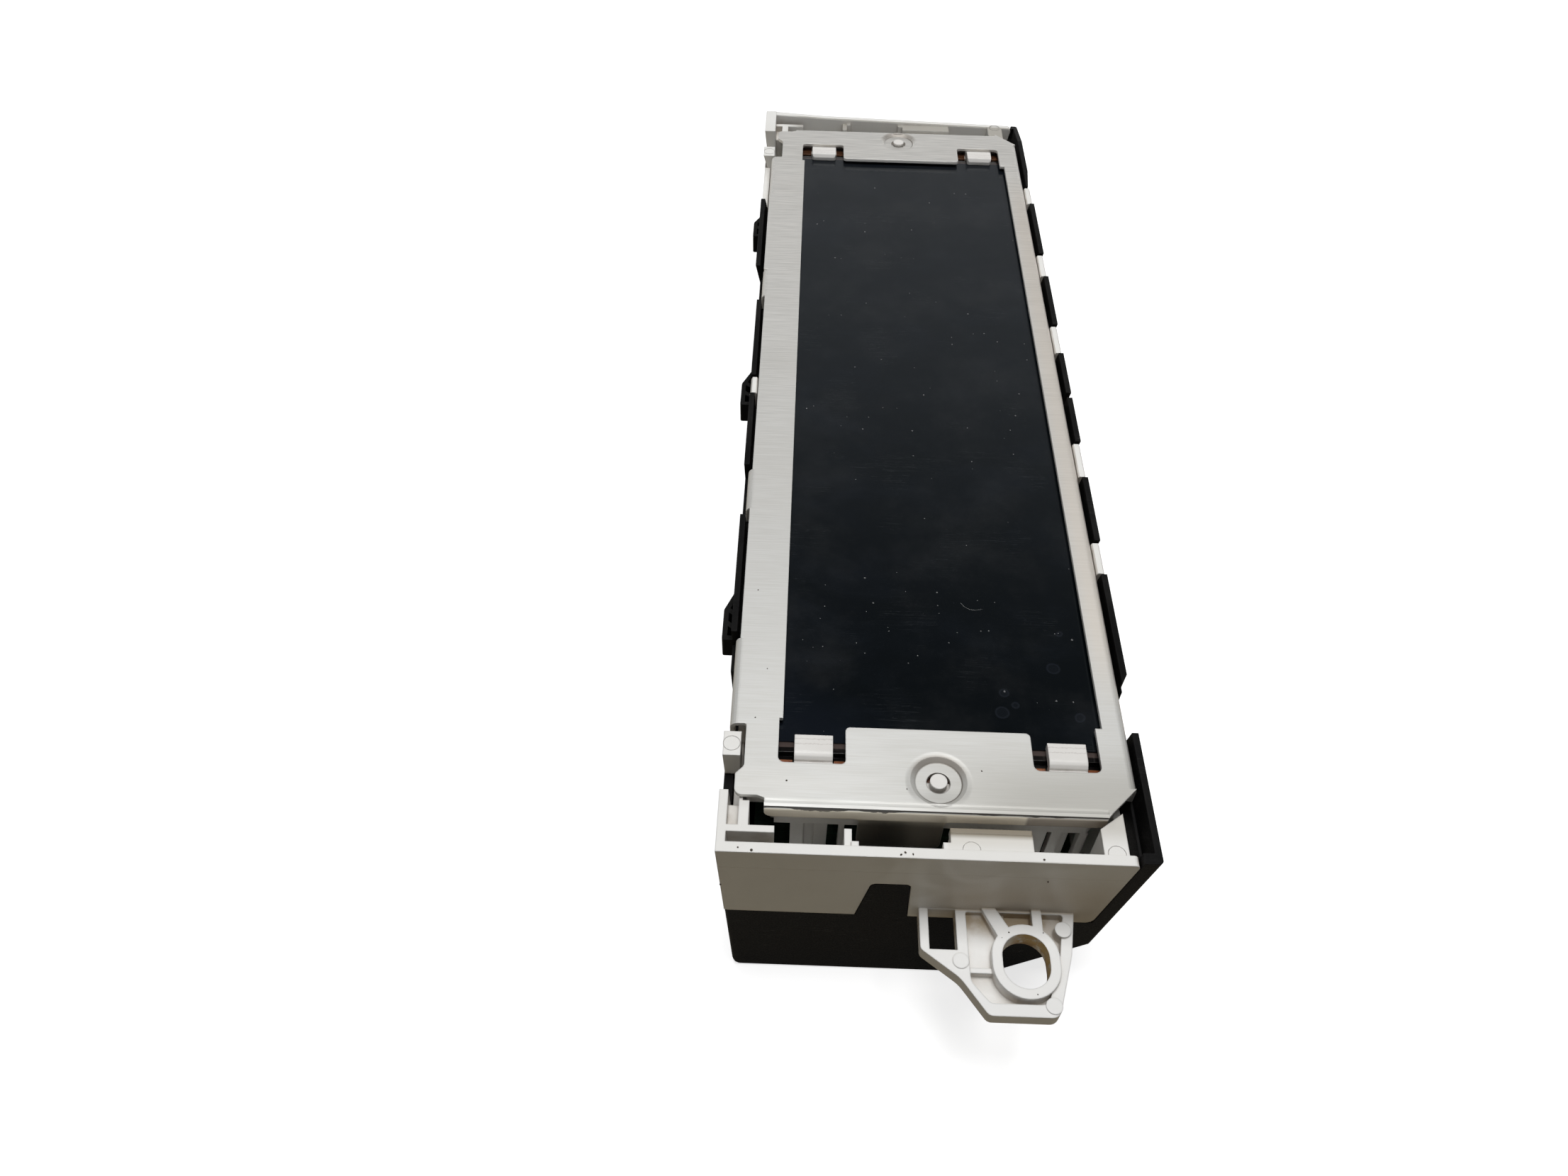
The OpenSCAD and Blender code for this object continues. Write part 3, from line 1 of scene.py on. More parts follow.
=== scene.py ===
import bmesh
import bpy
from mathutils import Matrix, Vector


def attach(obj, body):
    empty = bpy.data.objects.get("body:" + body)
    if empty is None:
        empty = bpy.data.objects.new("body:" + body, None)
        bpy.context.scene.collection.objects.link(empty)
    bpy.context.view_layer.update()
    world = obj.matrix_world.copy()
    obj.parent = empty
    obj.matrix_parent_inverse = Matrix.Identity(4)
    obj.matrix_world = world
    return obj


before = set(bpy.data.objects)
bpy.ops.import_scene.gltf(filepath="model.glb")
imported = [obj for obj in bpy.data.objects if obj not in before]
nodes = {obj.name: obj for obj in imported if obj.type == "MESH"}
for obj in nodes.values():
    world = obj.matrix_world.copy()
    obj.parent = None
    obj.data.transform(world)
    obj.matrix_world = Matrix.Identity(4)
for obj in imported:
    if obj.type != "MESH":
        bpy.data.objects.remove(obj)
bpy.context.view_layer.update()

# ---------------------------------------------------------------- rear cover
# Injection-moulded tray of black plastic with a fine spark-eroded grain. Its upright tabs
# hold the bezel's long sides, and three outboard brackets stand on its left wall. The edges
# have gone a little grey with handling, and pale dust lies on whatever faces up.


def ingredient(tree, kind, wires=None, **settings):
    """Adds one node and fills its sockets with values or with other nodes' outputs."""
    made = tree.nodes.new(kind)
    for key, value in settings.items():
        setattr(made, key, value)
    for socket, value in (wires or {}).items():
        if isinstance(value, bpy.types.NodeSocket):
            tree.links.new(value, made.inputs[socket])
        else:
            made.inputs[socket].default_value = value
    return made


def maths(tree, operation, a, b=0.0, c=0.0, clamp=False):
    """One arithmetic step on numbers or sockets."""
    return ingredient(tree, "ShaderNodeMath", {0: a, 1: b, 2: c},
                      operation=operation, use_clamp=clamp).outputs[0]


def times(tree, first, *others):
    """Product of numbers or sockets."""
    for other in others:
        first = maths(tree, "MULTIPLY", first, other)
    return first


def minus(tree, a, b):
    """Difference of two numbers or sockets."""
    return maths(tree, "SUBTRACT", a, b)


def apart(tree, value, centre):
    """How far a value lies from a centre."""
    return maths(tree, "ABSOLUTE", minus(tree, value, centre))


def above(tree, value, limit):
    """1 where a value is more than its limit."""
    return maths(tree, "GREATER_THAN", value, limit)


def below(tree, value, limit):
    """1 where a value is less than its limit."""
    return maths(tree, "LESS_THAN", value, limit)


def ramp(tree, value, low, high, start=0.0, end=1.0):
    """A smooth step of a value from low to high."""
    return ingredient(tree, "ShaderNodeMapRange",
                      {"Value": value, "From Min": low, "From Max": high,
                       "To Min": start, "To Max": end},
                      interpolation_type="SMOOTHSTEP").outputs["Result"]


def tint(tree, share, under, over, strength=1.0):
    """Colour over laid on colour under, by a share from 0 to 1 times a fixed strength."""
    if strength != 1.0:
        share = times(tree, share, strength)
    mix = ingredient(tree, "ShaderNodeMix", {0: share}, data_type="RGBA")
    for place, colour in ((6, under), (7, over)):
        if isinstance(colour, bpy.types.NodeSocket):
            tree.links.new(colour, mix.inputs[place])
        else:
            mix.inputs[place].default_value = (*colour, 1.0)
    return mix.outputs[2]


def here(tree):
    """Place on the piece, in its own metres."""
    return ingredient(tree, "ShaderNodeTexCoord").outputs["Object"]


def cloudy(tree, scale, detail=2.0, place=None, **more):
    """Noise that stays where it is on the piece."""
    return ingredient(tree, "ShaderNodeTexNoise",
                      {"Vector": here(tree) if place is None else place,
                       "Scale": scale, "Detail": detail, **more}).outputs["Fac"]


def upwards(tree):
    """1 on a face that looks straight up, 0 on an upright one."""
    faces = ingredient(tree, "ShaderNodeNewGeometry").outputs["Normal"]
    return ingredient(tree, "ShaderNodeSeparateXYZ", {0: faces}).outputs[2]


def recipe(name, inputs, outputs):
    """Empty node group for an effect that several finishes share."""
    tree = bpy.data.node_groups.new(name, "ShaderNodeTree")
    for label, value in inputs.items():
        tree.interface.new_socket(label, in_out="INPUT",
                                  socket_type="NodeSocketFloat").default_value = value
    for label, kind in outputs.items():
        tree.interface.new_socket(label, in_out="OUTPUT", socket_type="NodeSocket" + kind)
    return (tree, tree.nodes.new("NodeGroupInput").outputs,
            tree.nodes.new("NodeGroupOutput").inputs)


def serve(tree, group, **values):
    """Places a shared effect in a finish, with its own values."""
    return ingredient(tree, "ShaderNodeGroup",
                      {label.replace("_", " "): value for label, value in values.items()},
                      node_tree=group).outputs


# Edges: the normal is rounded over a small radius, and Edge says where that happens
soft_edges, given, result = recipe("soft_edges", {"Radius": 0.0002},
                                   {"Normal": "Vector", "Edge": "Float"})
tree = soft_edges
rounded = ingredient(tree, "ShaderNodeBevel", {"Radius": given["Radius"]}, samples=6)
flat = ingredient(tree, "ShaderNodeNewGeometry").outputs["Normal"]
agreement = ingredient(tree, "ShaderNodeVectorMath", {0: rounded.outputs[0], 1: flat},
                       operation="DOT_PRODUCT").outputs["Value"]
tree.links.new(rounded.outputs[0], result["Normal"])
tree.links.new(ramp(tree, agreement, 0.995, 0.8), result["Edge"])

# Moulded skin: slow cloudiness of the colour and a fine even grain
moulded_skin, given, result = recipe("moulded_skin",
                                     {"Cloud scale": 45.0, "Grain scale": 5200.0},
                                     {"Cloud": "Float", "Grain": "Float", "Height": "Float"})
tree = moulded_skin
slow = ramp(tree, cloudy(tree, given["Cloud scale"], 6.0, Roughness=0.55), 0.3, 0.7)
grain = cloudy(tree, given["Grain scale"], Roughness=0.6)
tree.links.new(slow, result["Cloud"])
tree.links.new(grain, result["Grain"])
tree.links.new(maths(tree, "MULTIPLY_ADD", slow, 0.6, grain), result["Height"])

# Dust: small pale specks on upward faces, and a thin veil between them
settled_dust, given, result = recipe("settled_dust",
                                     {"Speck size": 0.09, "Cells": 420.0, "Share": 0.25},
                                     {"Specks": "Float", "Veil": "Float"})
tree = settled_dust
SHAKE = 0.00022
spot = here(tree)
wobble = ingredient(tree, "ShaderNodeTexNoise", {"Vector": spot, "Scale": 3800.0, "Detail": 2.0})
shaken = ingredient(tree, "ShaderNodeVectorMath",
                    {0: wobble.outputs["Color"], 1: (SHAKE, SHAKE, SHAKE), 2: spot},
                    operation="MULTIPLY_ADD").outputs[0]
cells = ingredient(tree, "ShaderNodeTexVoronoi", {"Vector": shaken, "Scale": given["Cells"]})
luck = ingredient(tree, "ShaderNodeSeparateColor", {0: cells.outputs["Color"]})
chosen = below(tree, luck.outputs[0], given["Share"])
inside = below(tree, cells.outputs["Distance"], times(tree, luck.outputs[1], given["Speck size"]))
facing_up = ramp(tree, upwards(tree), 0.6, 0.95)
veil = ramp(tree, cloudy(tree, 85.0, 8.0, Roughness=0.65), 0.4, 0.75)
tree.links.new(times(tree, chosen, inside, facing_up), result["Specks"])
tree.links.new(times(tree, facing_up, veil), result["Veil"])

# Scratches: fine crossing lines, from two stretched noises
fine_scratches, given, result = recipe("fine_scratches",
                                       {"Length scale": 60.0, "Amount": 0.5},
                                       {"Lines": "Float"})
tree = fine_scratches
lines = []
for turn in (0.35, -0.9):
    laid = ingredient(tree, "ShaderNodeMapping",
                      {"Vector": here(tree), "Rotation": (0.1, 0.2, turn),
                       "Scale": (1.0, 42.0, 9.0)})
    streak = cloudy(tree, given["Length scale"], 3.0, laid.outputs[0])
    lines.append(ramp(tree, apart(tree, streak, 0.5), 0.006, 0.0))
present = ramp(tree, cloudy(tree, 130.0), 0.52, 0.66)
crossed = maths(tree, "MAXIMUM", *lines)
tree.links.new(times(tree, crossed, present, given["Amount"]), result["Lines"])


def finish(name, **constants):
    """Blank finish: one Principled shader whose fixed values sit on its own sockets."""
    made = bpy.data.materials.new(name)
    made.use_nodes = True
    tree = made.node_tree
    tree.nodes.clear()
    shader = tree.nodes.new("ShaderNodeBsdfPrincipled")
    for label, value in constants.items():
        shader.inputs[label.replace("_", " ")].default_value = value
    out = tree.nodes.new("ShaderNodeOutputMaterial")
    tree.links.new(shader.outputs[0], out.inputs["Surface"])
    return made, tree, shader.inputs


def lay(tree, shader, colour, roughness, height=None, depth=0.0, normal=None):
    """Joins a colour, a roughness and a bump of a real depth in metres to the shader."""
    tree.links.new(colour, shader["Base Color"])
    tree.links.new(roughness, shader["Roughness"])
    if height is not None:
        bump = ingredient(tree, "ShaderNodeBump",
                          {"Height": height, "Distance": depth, "Strength": 1.0})
        if normal is not None:
            tree.links.new(normal, bump.inputs["Normal"])
        tree.links.new(bump.outputs[0], shader["Normal"])


def matt(tree, skin, smooth, rough):
    """Roughness that follows the skin's grain."""
    return ramp(tree, skin["Grain"], 0.3, 0.7, smooth, rough)


def wear(node_name, material):
    """The finish goes on a CAD node, whose shape stays as packed."""
    for place in nodes[node_name].material_slots:
        place.material = material


black_moulding, tree, shader = finish("black_moulding", Specular_IOR_Level=0.07)
skin = serve(tree, moulded_skin, Cloud_scale=60.0, Grain_scale=5200.0)
edges = serve(tree, soft_edges, Radius=0.00022)
dust = serve(tree, settled_dust, Speck_size=0.16, Cells=620.0, Share=0.22)
scuffs = serve(tree, fine_scratches, Length_scale=70.0, Amount=0.55)
colour = tint(tree, skin["Cloud"], (0.0018, 0.0018, 0.0019), (0.0038, 0.0038, 0.0039))
colour = tint(tree, edges["Edge"], colour, (0.024, 0.024, 0.025), 0.4)
colour = tint(tree, scuffs["Lines"], colour, (0.06, 0.06, 0.06))
colour = tint(tree, dust["Veil"], colour, (0.14, 0.135, 0.125), 0.07)
colour = tint(tree, dust["Specks"], colour, (0.3, 0.29, 0.27), 0.8)
lay(tree, shader, colour,
    maths(tree, "MULTIPLY_ADD", dust["Veil"], 0.15, matt(tree, skin, 0.42, 0.58)),
    skin["Height"], 0.00002, edges["Normal"])
wear("rear_cover", black_moulding)

# ------------------------------------------------------------- circuit board
# Glass-fibre board with dark green lacquer over etched tracks, screwed under the housing by
# four zinc-plated screws. Its parts hang from the lower face, with the loom's socket among
# them, and the lamps stand on the upper one.

MM = 0.001

board_lacquer, tree, shader = finish("board_lacquer", Coat_Roughness=0.15, Specular_IOR_Level=0.5)
fabric = ingredient(tree, "ShaderNodeTexWave",
                    {"Vector": here(tree), "Scale": 900.0, "Distortion": 0.6},
                    wave_type="BANDS", bands_direction="DIAGONAL").outputs["Fac"]
islands = ingredient(tree, "ShaderNodeTexVoronoi", {"Vector": here(tree), "Scale": 260.0},
                     distance="MANHATTAN", feature="F1")
rows = ingredient(tree, "ShaderNodeTexBrick",
                  {"Vector": here(tree), "Scale": 210.0, "Mortar Size": 0.012, "Bias": 0.0,
                   "Brick Width": 2.4, "Row Height": 0.3})
track = times(tree, rows.outputs["Fac"], ramp(tree, islands.outputs["Distance"], 0.25, 0.45))
edges = serve(tree, soft_edges, Radius=0.0001)
colour = tint(tree, fabric, (0.006, 0.02, 0.011), (0.008, 0.027, 0.014))
colour = tint(tree, track, colour, (0.016, 0.055, 0.026))
colour = tint(tree, edges["Edge"], colour, (0.09, 0.085, 0.05), 0.6)
tree.links.new(ramp(tree, track, 0.0, 1.0, 0.35, 0.6), shader["Coat Weight"])
lay(tree, shader, colour, ramp(tree, fabric, 0.0, 1.0, 0.3, 0.42),
    track, 0.00003, edges["Normal"])
wear("circuit_board", board_lacquer)


def place_xyz(tree):
    """Place on the piece, split, in millimetres."""
    scaled = ingredient(tree, "ShaderNodeVectorMath", {0: here(tree), "Scale": 1.0 / MM},
                        operation="SCALE").outputs[0]
    return ingredient(tree, "ShaderNodeSeparateXYZ", {0: scaled}).outputs[:3]


def chip_finish(name, body, metal, on_metal, roughness=0.55):
    """Moulded epoxy whose legs, tabs or caps are bare tinned metal where on_metal says so."""
    made, tree, shader = finish(name, Specular_IOR_Level=0.4)
    skin = serve(tree, moulded_skin, Cloud_scale=300.0, Grain_scale=9000.0)
    edges = serve(tree, soft_edges, Radius=0.00008)
    bare = on_metal(tree, *place_xyz(tree))
    epoxy = tint(tree, skin["Cloud"], body, tuple(c * 1.5 for c in body))
    tin = tint(tree, skin["Grain"], metal, tuple(c * 0.75 for c in metal))
    colour = tint(tree, bare, epoxy, tin)
    colour = tint(tree, edges["Edge"], colour, (0.5, 0.5, 0.48), 0.25)
    dull = ramp(tree, skin["Grain"], 0.2, 0.8, roughness - 0.08, roughness + 0.1)
    tree.links.new(bare, shader["Metallic"])
    lay(tree, shader, colour, maths(tree, "MULTIPLY_ADD", bare, -0.2, dull),
        skin["Height"], 0.000008, edges["Normal"])
    return made


def legs_round(centre_x, centre_y, half):
    """Legs stick out on all four sides of a square case."""
    return lambda tree, x, y, z: maths(tree, "MAXIMUM",
                                       above(tree, apart(tree, x, centre_x), half),
                                       above(tree, apart(tree, y, centre_y), half))


EPOXY = (0.011, 0.011, 0.012)
TIN = (0.6, 0.59, 0.55)
REGULATOR_Y, REGULATOR_HALF, REGULATOR_TAB = -36.45, 4.57, -34.88
DIODE_X, DIODE_HALF = -16.0, 2.21
CHIP_ROW, CHIP_PITCH, CAP_LENGTH = 6.15, 5.0, 0.7
CAPACITOR_BASE_Z, CRYSTAL_BASE_Z = 11.2, 11.62
wear("controller_chip", chip_finish("controller_epoxy", EPOXY, TIN, legs_round(-6, 14, 7.02)))
wear("driver_chip", chip_finish("driver_epoxy", EPOXY, TIN, legs_round(-7, 46, 5.02)))
wear("voltage_regulator", chip_finish(
    "regulator_epoxy", EPOXY, TIN,
    lambda tree, x, y, z: maths(tree, "MAXIMUM",
                                above(tree, apart(tree, y, REGULATOR_Y), REGULATOR_HALF),
                                above(tree, y, REGULATOR_TAB))))
wear("protection_diode", chip_finish(
    "diode_epoxy", EPOXY, TIN,
    lambda tree, x, y, z: above(tree, apart(tree, x, DIODE_X), DIODE_HALF)))
wear("chip_components", chip_finish(
    "ceramic_chips", (0.2, 0.15, 0.095), TIN,
    lambda tree, x, y, z: below(
        tree, maths(tree, "MODULO", minus(tree, x, CHIP_ROW), CHIP_PITCH), CAP_LENGTH), 0.4))
wear("smoothing_capacitors", chip_finish(
    "capacitor_cans", (0.012, 0.012, 0.013), (0.62, 0.62, 0.62),
    lambda tree, x, y, z: below(tree, z, CAPACITOR_BASE_Z), 0.42))
wear("clock_crystal", chip_finish(
    "crystal_can", (0.25, 0.25, 0.24), (0.58, 0.57, 0.54),
    lambda tree, x, y, z: below(tree, z, CRYSTAL_BASE_Z), 0.4))

COIL_MIDDLE, WINDING_HALF = 9.5, 1.45
coil_winding, tree, shader = finish("coil_winding", Specular_IOR_Level=0.5)
z = place_xyz(tree)[2]
wire = ingredient(tree, "ShaderNodeTexWave", {"Vector": here(tree), "Scale": 760.0},
                  wave_type="BANDS", bands_direction="Z").outputs["Fac"]
flanged = above(tree, apart(tree, z, COIL_MIDDLE), WINDING_HALF)
skin = serve(tree, moulded_skin, Cloud_scale=350.0, Grain_scale=7000.0)
copper = tint(tree, wire, (0.2, 0.05, 0.02), (0.62, 0.22, 0.09))
ferrite = tint(tree, skin["Cloud"], (0.022, 0.021, 0.02), (0.04, 0.038, 0.036))
lay(tree, shader, tint(tree, flanged, copper, ferrite),
    ramp(tree, flanged, 0.0, 1.0, 0.28, 0.62),
    times(tree, wire, minus(tree, 1.0, flanged)), 0.00008)
wear("power_coil", coil_winding)

# Sheltered corners, broken up by a coarse noise; most finishes darken them with grime and painted
# shade
sheltered_corners, given, result = recipe("sheltered_corners", {"Distance": 0.002, "Patchiness": 0.5},
                                      {"Sheltered": "Float"})
tree = sheltered_corners
shelter = ingredient(tree, "ShaderNodeAmbientOcclusion", {"Distance": given["Distance"]},
                     samples=6)
hidden_share = ramp(tree, shelter.outputs["AO"], 0.85, 0.3)
patch = ramp(tree, cloudy(tree, 320.0, 5.0), 0.35, 0.65)
thinned = maths(tree, "MULTIPLY_ADD", minus(tree, patch, 1.0), given["Patchiness"], 1.0)
tree.links.new(maths(tree, "MULTIPLY", hidden_share, thinned, clamp=True), result["Sheltered"])


def grained(name, pale, dark, cloud, grain, matt_range, depth=None, edge_radius=None,
            rubbed=None, dirt=None, **constants):
    """Simple moulding or plating: cloudy colour, then rubbed edges, and dirt with painted shade
    in its corners.

    rubbed is a share and a colour; the corner darkening of dirt and painted shade is a distance,
    a patchiness, a share and a colour.
    """
    made, tree, shader = finish(name, **constants)
    skin = serve(tree, moulded_skin, Cloud_scale=cloud, Grain_scale=grain)
    colour = tint(tree, skin["Cloud"], pale, dark)
    softened = None
    if edge_radius:
        edges = serve(tree, soft_edges, Radius=edge_radius)
        softened = edges["Normal"]
    if rubbed:
        colour = tint(tree, edges["Edge"], colour, rubbed[1], rubbed[0])
    # Dirt and painted shade darken the sheltered corners
    if dirt:
        grime_and_shade = serve(tree, sheltered_corners, Distance=dirt[0], Patchiness=dirt[1])
        colour = tint(tree, grime_and_shade["Sheltered"], colour, dirt[3], dirt[2])
    lay(tree, shader, colour, matt(tree, skin, *matt_range),
        skin["Height"] if depth else None, depth, softened)
    return made


PLATING = {"edge_radius": 0.00006, "rubbed": (0.5, (0.8, 0.8, 0.78)),
           "dirt": (0.0006, 0.4, 0.6, (0.1, 0.09, 0.07)), "Metallic": 1.0}
wear("plug_socket", grained(
    "socket_moulding", (0.008, 0.008, 0.0085), (0.013, 0.013, 0.0135), 120.0, 6000.0,
    (0.36, 0.5), 0.000015, 0.00015, (0.4, (0.05, 0.05, 0.05)),
    (0.002, 0.6, 0.3, (0.05, 0.046, 0.04)), Specular_IOR_Level=0.45))
wear("socket_contacts", grained("contact_plating", (0.66, 0.62, 0.52), (0.5, 0.46, 0.38),
                                260.0, 5400.0, (0.22, 0.4), 0.000004, **PLATING))
wear("board_screws", grained("screw_plating", (0.62, 0.62, 0.6), (0.5, 0.49, 0.46),
                             260.0, 5400.0, (0.26, 0.44), 0.000004, **PLATING))

# --------------------------------------------------- light box, lamps, diffuser
# White moulded box whose chambers slope up from the lamps to the window, closed by an opal
# sheet. The lamps are white cases with a round cup of yellow phosphor.

wear("light_box", grained(
    "bright_white", (0.86, 0.86, 0.83), (0.82, 0.815, 0.78), 50.0, 4200.0, (0.25, 0.36),
    0.00001, dirt=(0.002, 0.7, 0.25, (0.45, 0.42, 0.34)), Specular_IOR_Level=0.5))

opal_sheet, tree, shader = finish("opal_sheet", Specular_IOR_Level=0.4)
dots = ingredient(tree, "ShaderNodeTexVoronoi",
                  {"Vector": here(tree), "Scale": 1400.0, "Randomness": 0.0})
dot = ramp(tree, dots.outputs["Distance"], 0.3, 0.2)
lay(tree, shader, tint(tree, dot, (0.8, 0.8, 0.78), (0.88, 0.88, 0.87)),
    ramp(tree, dot, 0.0, 1.0, 0.5, 0.38), dot, 0.00001)
wear("diffuser", opal_sheet)

lamp_finish, tree, shader = finish("lamp_case", Specular_IOR_Level=0.5)
skin = serve(tree, moulded_skin, Cloud_scale=500.0, Grain_scale=9000.0)
cup = serve(tree, sheltered_corners, Distance=0.0012, Patchiness=0.0)["Sheltered"]
case_colour = tint(tree, skin["Cloud"], (0.8, 0.79, 0.73), (0.74, 0.73, 0.66))
lay(tree, shader, tint(tree, cup, case_colour, (0.78, 0.62, 0.1)),
    ramp(tree, cup, 0.0, 1.0, 0.4, 0.15), skin["Height"], 0.000005)
wear("backlight_leds", lamp_finish)

# -------------------------------------------------------------- display cell
# Two panes of thin glass bonded face to face, with a dark polarising film on each side. The
# ribbon of copper tracks bonds on the contact ledge, and an amber film under the cell turns
# up at both ends, where it shows in the clip notches.

# Smudges left by fingers and wiping on the window
wiped_smudges, given, result = recipe("wiped_smudges", {"Size": 70.0}, {"Smudge": "Float"})
tree = wiped_smudges
laid = ingredient(tree, "ShaderNodeMapping",
                  {"Vector": here(tree), "Rotation": (0.0, 0.0, 0.5),
                   "Scale": (1.0, 1.7, 1.0)})
broad = cloudy(tree, given["Size"], 7.0, laid.outputs[0], Roughness=0.62, Distortion=0.4)
tree.links.new(ramp(tree, broad, 0.42, 0.78), result["Smudge"])


def span(tree, dx, dy):
    """Length of a step across and along."""
    return maths(tree, "SQRT", maths(tree, "MULTIPLY_ADD", dx, dx, times(tree, dy, dy)))


def drop_mark(tree, x, y, centre_x, centre_y, radius):
    """Outline and faint inside of a dried drop at a place in millimetres."""
    away = span(tree, minus(tree, x, centre_x), minus(tree, y, centre_y))
    rim = ramp(tree, apart(tree, away, radius), 0.22, 0.05)
    return maths(tree, "MAXIMUM", rim, ramp(tree, away, radius, radius * 0.8, 0.0, 0.45))


WINDOW_NEAR, WINDOW_FAR = -70.0, 70.0
HAZE_X, HAZE_Y, HAZE_REACH = -15.5, -67.5, 11.0
DRIED_DROPS = [(16.5, -57.3, 0.75), (9.6, -61.5, 0.55), (19.2, -65.0, 0.6),
               (9.1, -64.6, 0.8), (10.9, -63.4, 0.4), (18.1, -51.4, 0.35)]
window_film, tree, shader = finish("window_film", Specular_IOR_Level=0.32,
                                   Specular_Tint=(0.82, 0.93, 1.0, 1.0))
x, y = place_xyz(tree)[:2]
smudge = serve(tree, wiped_smudges, Size=60.0)["Smudge"]
dust = serve(tree, settled_dust, Speck_size=0.13, Cells=900.0, Share=0.16)
scuffs = serve(tree, fine_scratches, Length_scale=50.0, Amount=0.3)
# Painted reflection: the window is darker at the near end and lighter towards the far end
colour = tint(tree, ramp(tree, y, WINDOW_NEAR, WINDOW_FAR),
              (0.0016, 0.0026, 0.0036), (0.006, 0.0078, 0.0105))
colour = tint(tree, smudge, colour, (0.012, 0.016, 0.026), 0.16)
# Bluish haze in the near left corner, where a cloth has missed
corner_off = maths(tree, "ADD", times(tree, minus(tree, x, HAZE_X), 0.7),
                   times(tree, minus(tree, y, HAZE_Y), 1.1))
haze = times(tree, ramp(tree, corner_off, HAZE_REACH, 0.0),
             ramp(tree, smudge, 0.0, 0.8, 0.35, 1.0))
colour = tint(tree, haze, colour, (0.014, 0.019, 0.034), 0.5)
uneven_x = maths(tree, "ADD", x, times(tree, minus(tree, smudge, 0.5), 0.7))
drops = 0.0
for drop in DRIED_DROPS:
    drops = maths(tree, "MAXIMUM", drop_mark(tree, uneven_x, y, *drop), drops)
colour = tint(tree, drops, colour, (0.03, 0.036, 0.055), 0.14)
colour = tint(tree, dust["Veil"], colour, (0.14, 0.14, 0.14), 0.05)
colour = tint(tree, dust["Specks"], colour, (0.2, 0.2, 0.2), 0.75)
colour = tint(tree, scuffs["Lines"], colour, (0.06, 0.065, 0.07))
lay(tree, shader, colour,
    maths(tree, "MULTIPLY_ADD", drops, 0.05, ramp(tree, smudge, 0.0, 1.0, 0.17, 0.21)),
    maths(tree, "MULTIPLY_ADD", dust["Specks"], 0.5, smudge), 0.000002)
wear("front_polariser", window_film)

SEAL_START, SEAL_END = 70.75, 70.9
pane_glass, tree, shader = finish("pane_glass", IOR=1.5, Metallic=0.0, Transmission_Weight=0.35)
y = place_xyz(tree)[1]
edges = serve(tree, soft_edges, Radius=0.00006)
smudge = serve(tree, wiped_smudges, Size=160.0)["Smudge"]
# Painted brown-grey reflection on the margin beside the film, then the black band of the seal,
# then a painted highlight on the bare edges
colour = tint(tree, ramp(tree, apart(tree, y, 0.0), SEAL_START, SEAL_END),
              (0.1, 0.075, 0.068), (0.008, 0.007, 0.007))
colour = tint(tree, smudge, colour, (0.12, 0.1, 0.09), 0.3)
# Painted highlight on the edges of the glass
colour = tint(tree, edges["Edge"], colour, (0.34, 0.33, 0.31))
lay(tree, shader, colour, ramp(tree, smudge, 0.0, 1.0, 0.08, 0.25),
    smudge, 0.000003, edges["Normal"])
wear("front_glass", pane_glass)
wear("rear_glass", pane_glass)

rear_film, tree, shader = finish("rear_film", Specular_IOR_Level=0.4)
smudge = serve(tree, wiped_smudges, Size=90.0)["Smudge"]
edges = serve(tree, soft_edges, Radius=0.00005)
colour = tint(tree, smudge, (0.02, 0.018, 0.02), (0.035, 0.03, 0.034))
lay(tree, shader, tint(tree, edges["Edge"], colour, (0.12, 0.11, 0.1)),
    ramp(tree, smudge, 0.0, 1.0, 0.2, 0.34))
wear("rear_polariser", rear_film)

amber_film, tree, shader = finish("amber_film", Specular_IOR_Level=0.5)
smudge = serve(tree, wiped_smudges, Size=420.0)["Smudge"]
edges = serve(tree, soft_edges, Radius=0.0001)
grime_and_shade = serve(tree, sheltered_corners, Distance=0.0015, Patchiness=0.3)
y = place_xyz(tree)[1]
colour = tint(tree, smudge, (0.16, 0.045, 0.013), (0.34, 0.1, 0.025))
# Towards the far end less light comes through it
colour = tint(tree, ramp(tree, y, 0.0, 60.0, 0.0, 0.8), colour, (0.035, 0.02, 0.012))
# Dirt and painted shade darken its sheltered corners
colour = tint(tree, grime_and_shade["Sheltered"], colour, (0.02, 0.008, 0.004), 0.75)
lay(tree, shader, tint(tree, edges["Edge"], colour, (0.5, 0.22, 0.09)),
    ramp(tree, smudge, 0.0, 1.0, 0.22, 0.4), smudge, 0.00004, edges["Normal"])
wear("amber_filter", amber_film)

TRACKS_PER_MM, TRACK_SHARE, TRACKS_END = 1.6, 0.5, 28.6
ribbon_tracks, tree, shader = finish("ribbon_tracks", Specular_IOR_Level=0.5)
y = place_xyz(tree)[1]
comb = maths(tree, "FRACT", times(tree, y, TRACKS_PER_MM))
on_track = times(tree, below(tree, comb, TRACK_SHARE),
                 below(tree, apart(tree, y, 0.0), TRACKS_END))
film = serve(tree, moulded_skin, Cloud_scale=160.0, Grain_scale=5000.0)
base = tint(tree, film["Cloud"], (0.38, 0.14, 0.025), (0.45, 0.18, 0.035))
lay(tree, shader, tint(tree, on_track, base, (0.5, 0.25, 0.11)),
    ramp(tree, on_track, 0.0, 1.0, 0.35, 0.28), on_track, 0.00002)
wear("lcd_ribbon", ribbon_tracks)

wear("ribbon_socket", grained(
    "cream_socket", (0.66, 0.6, 0.45), (0.6, 0.54, 0.4), 200.0, 6000.0, (0.4, 0.52),
    0.00001, 0.0001, dirt=(0.0008, 0.5, 0.6, (0.16, 0.12, 0.07)), Specular_IOR_Level=0.45))

# ------------------------------------------------------------------- carrier
# White moulded frame that carries the glass. Four clips reach over the pane in the bezel's
# notches, and a pin stands in each dished ring. The clips' tops are lightly scuffed.

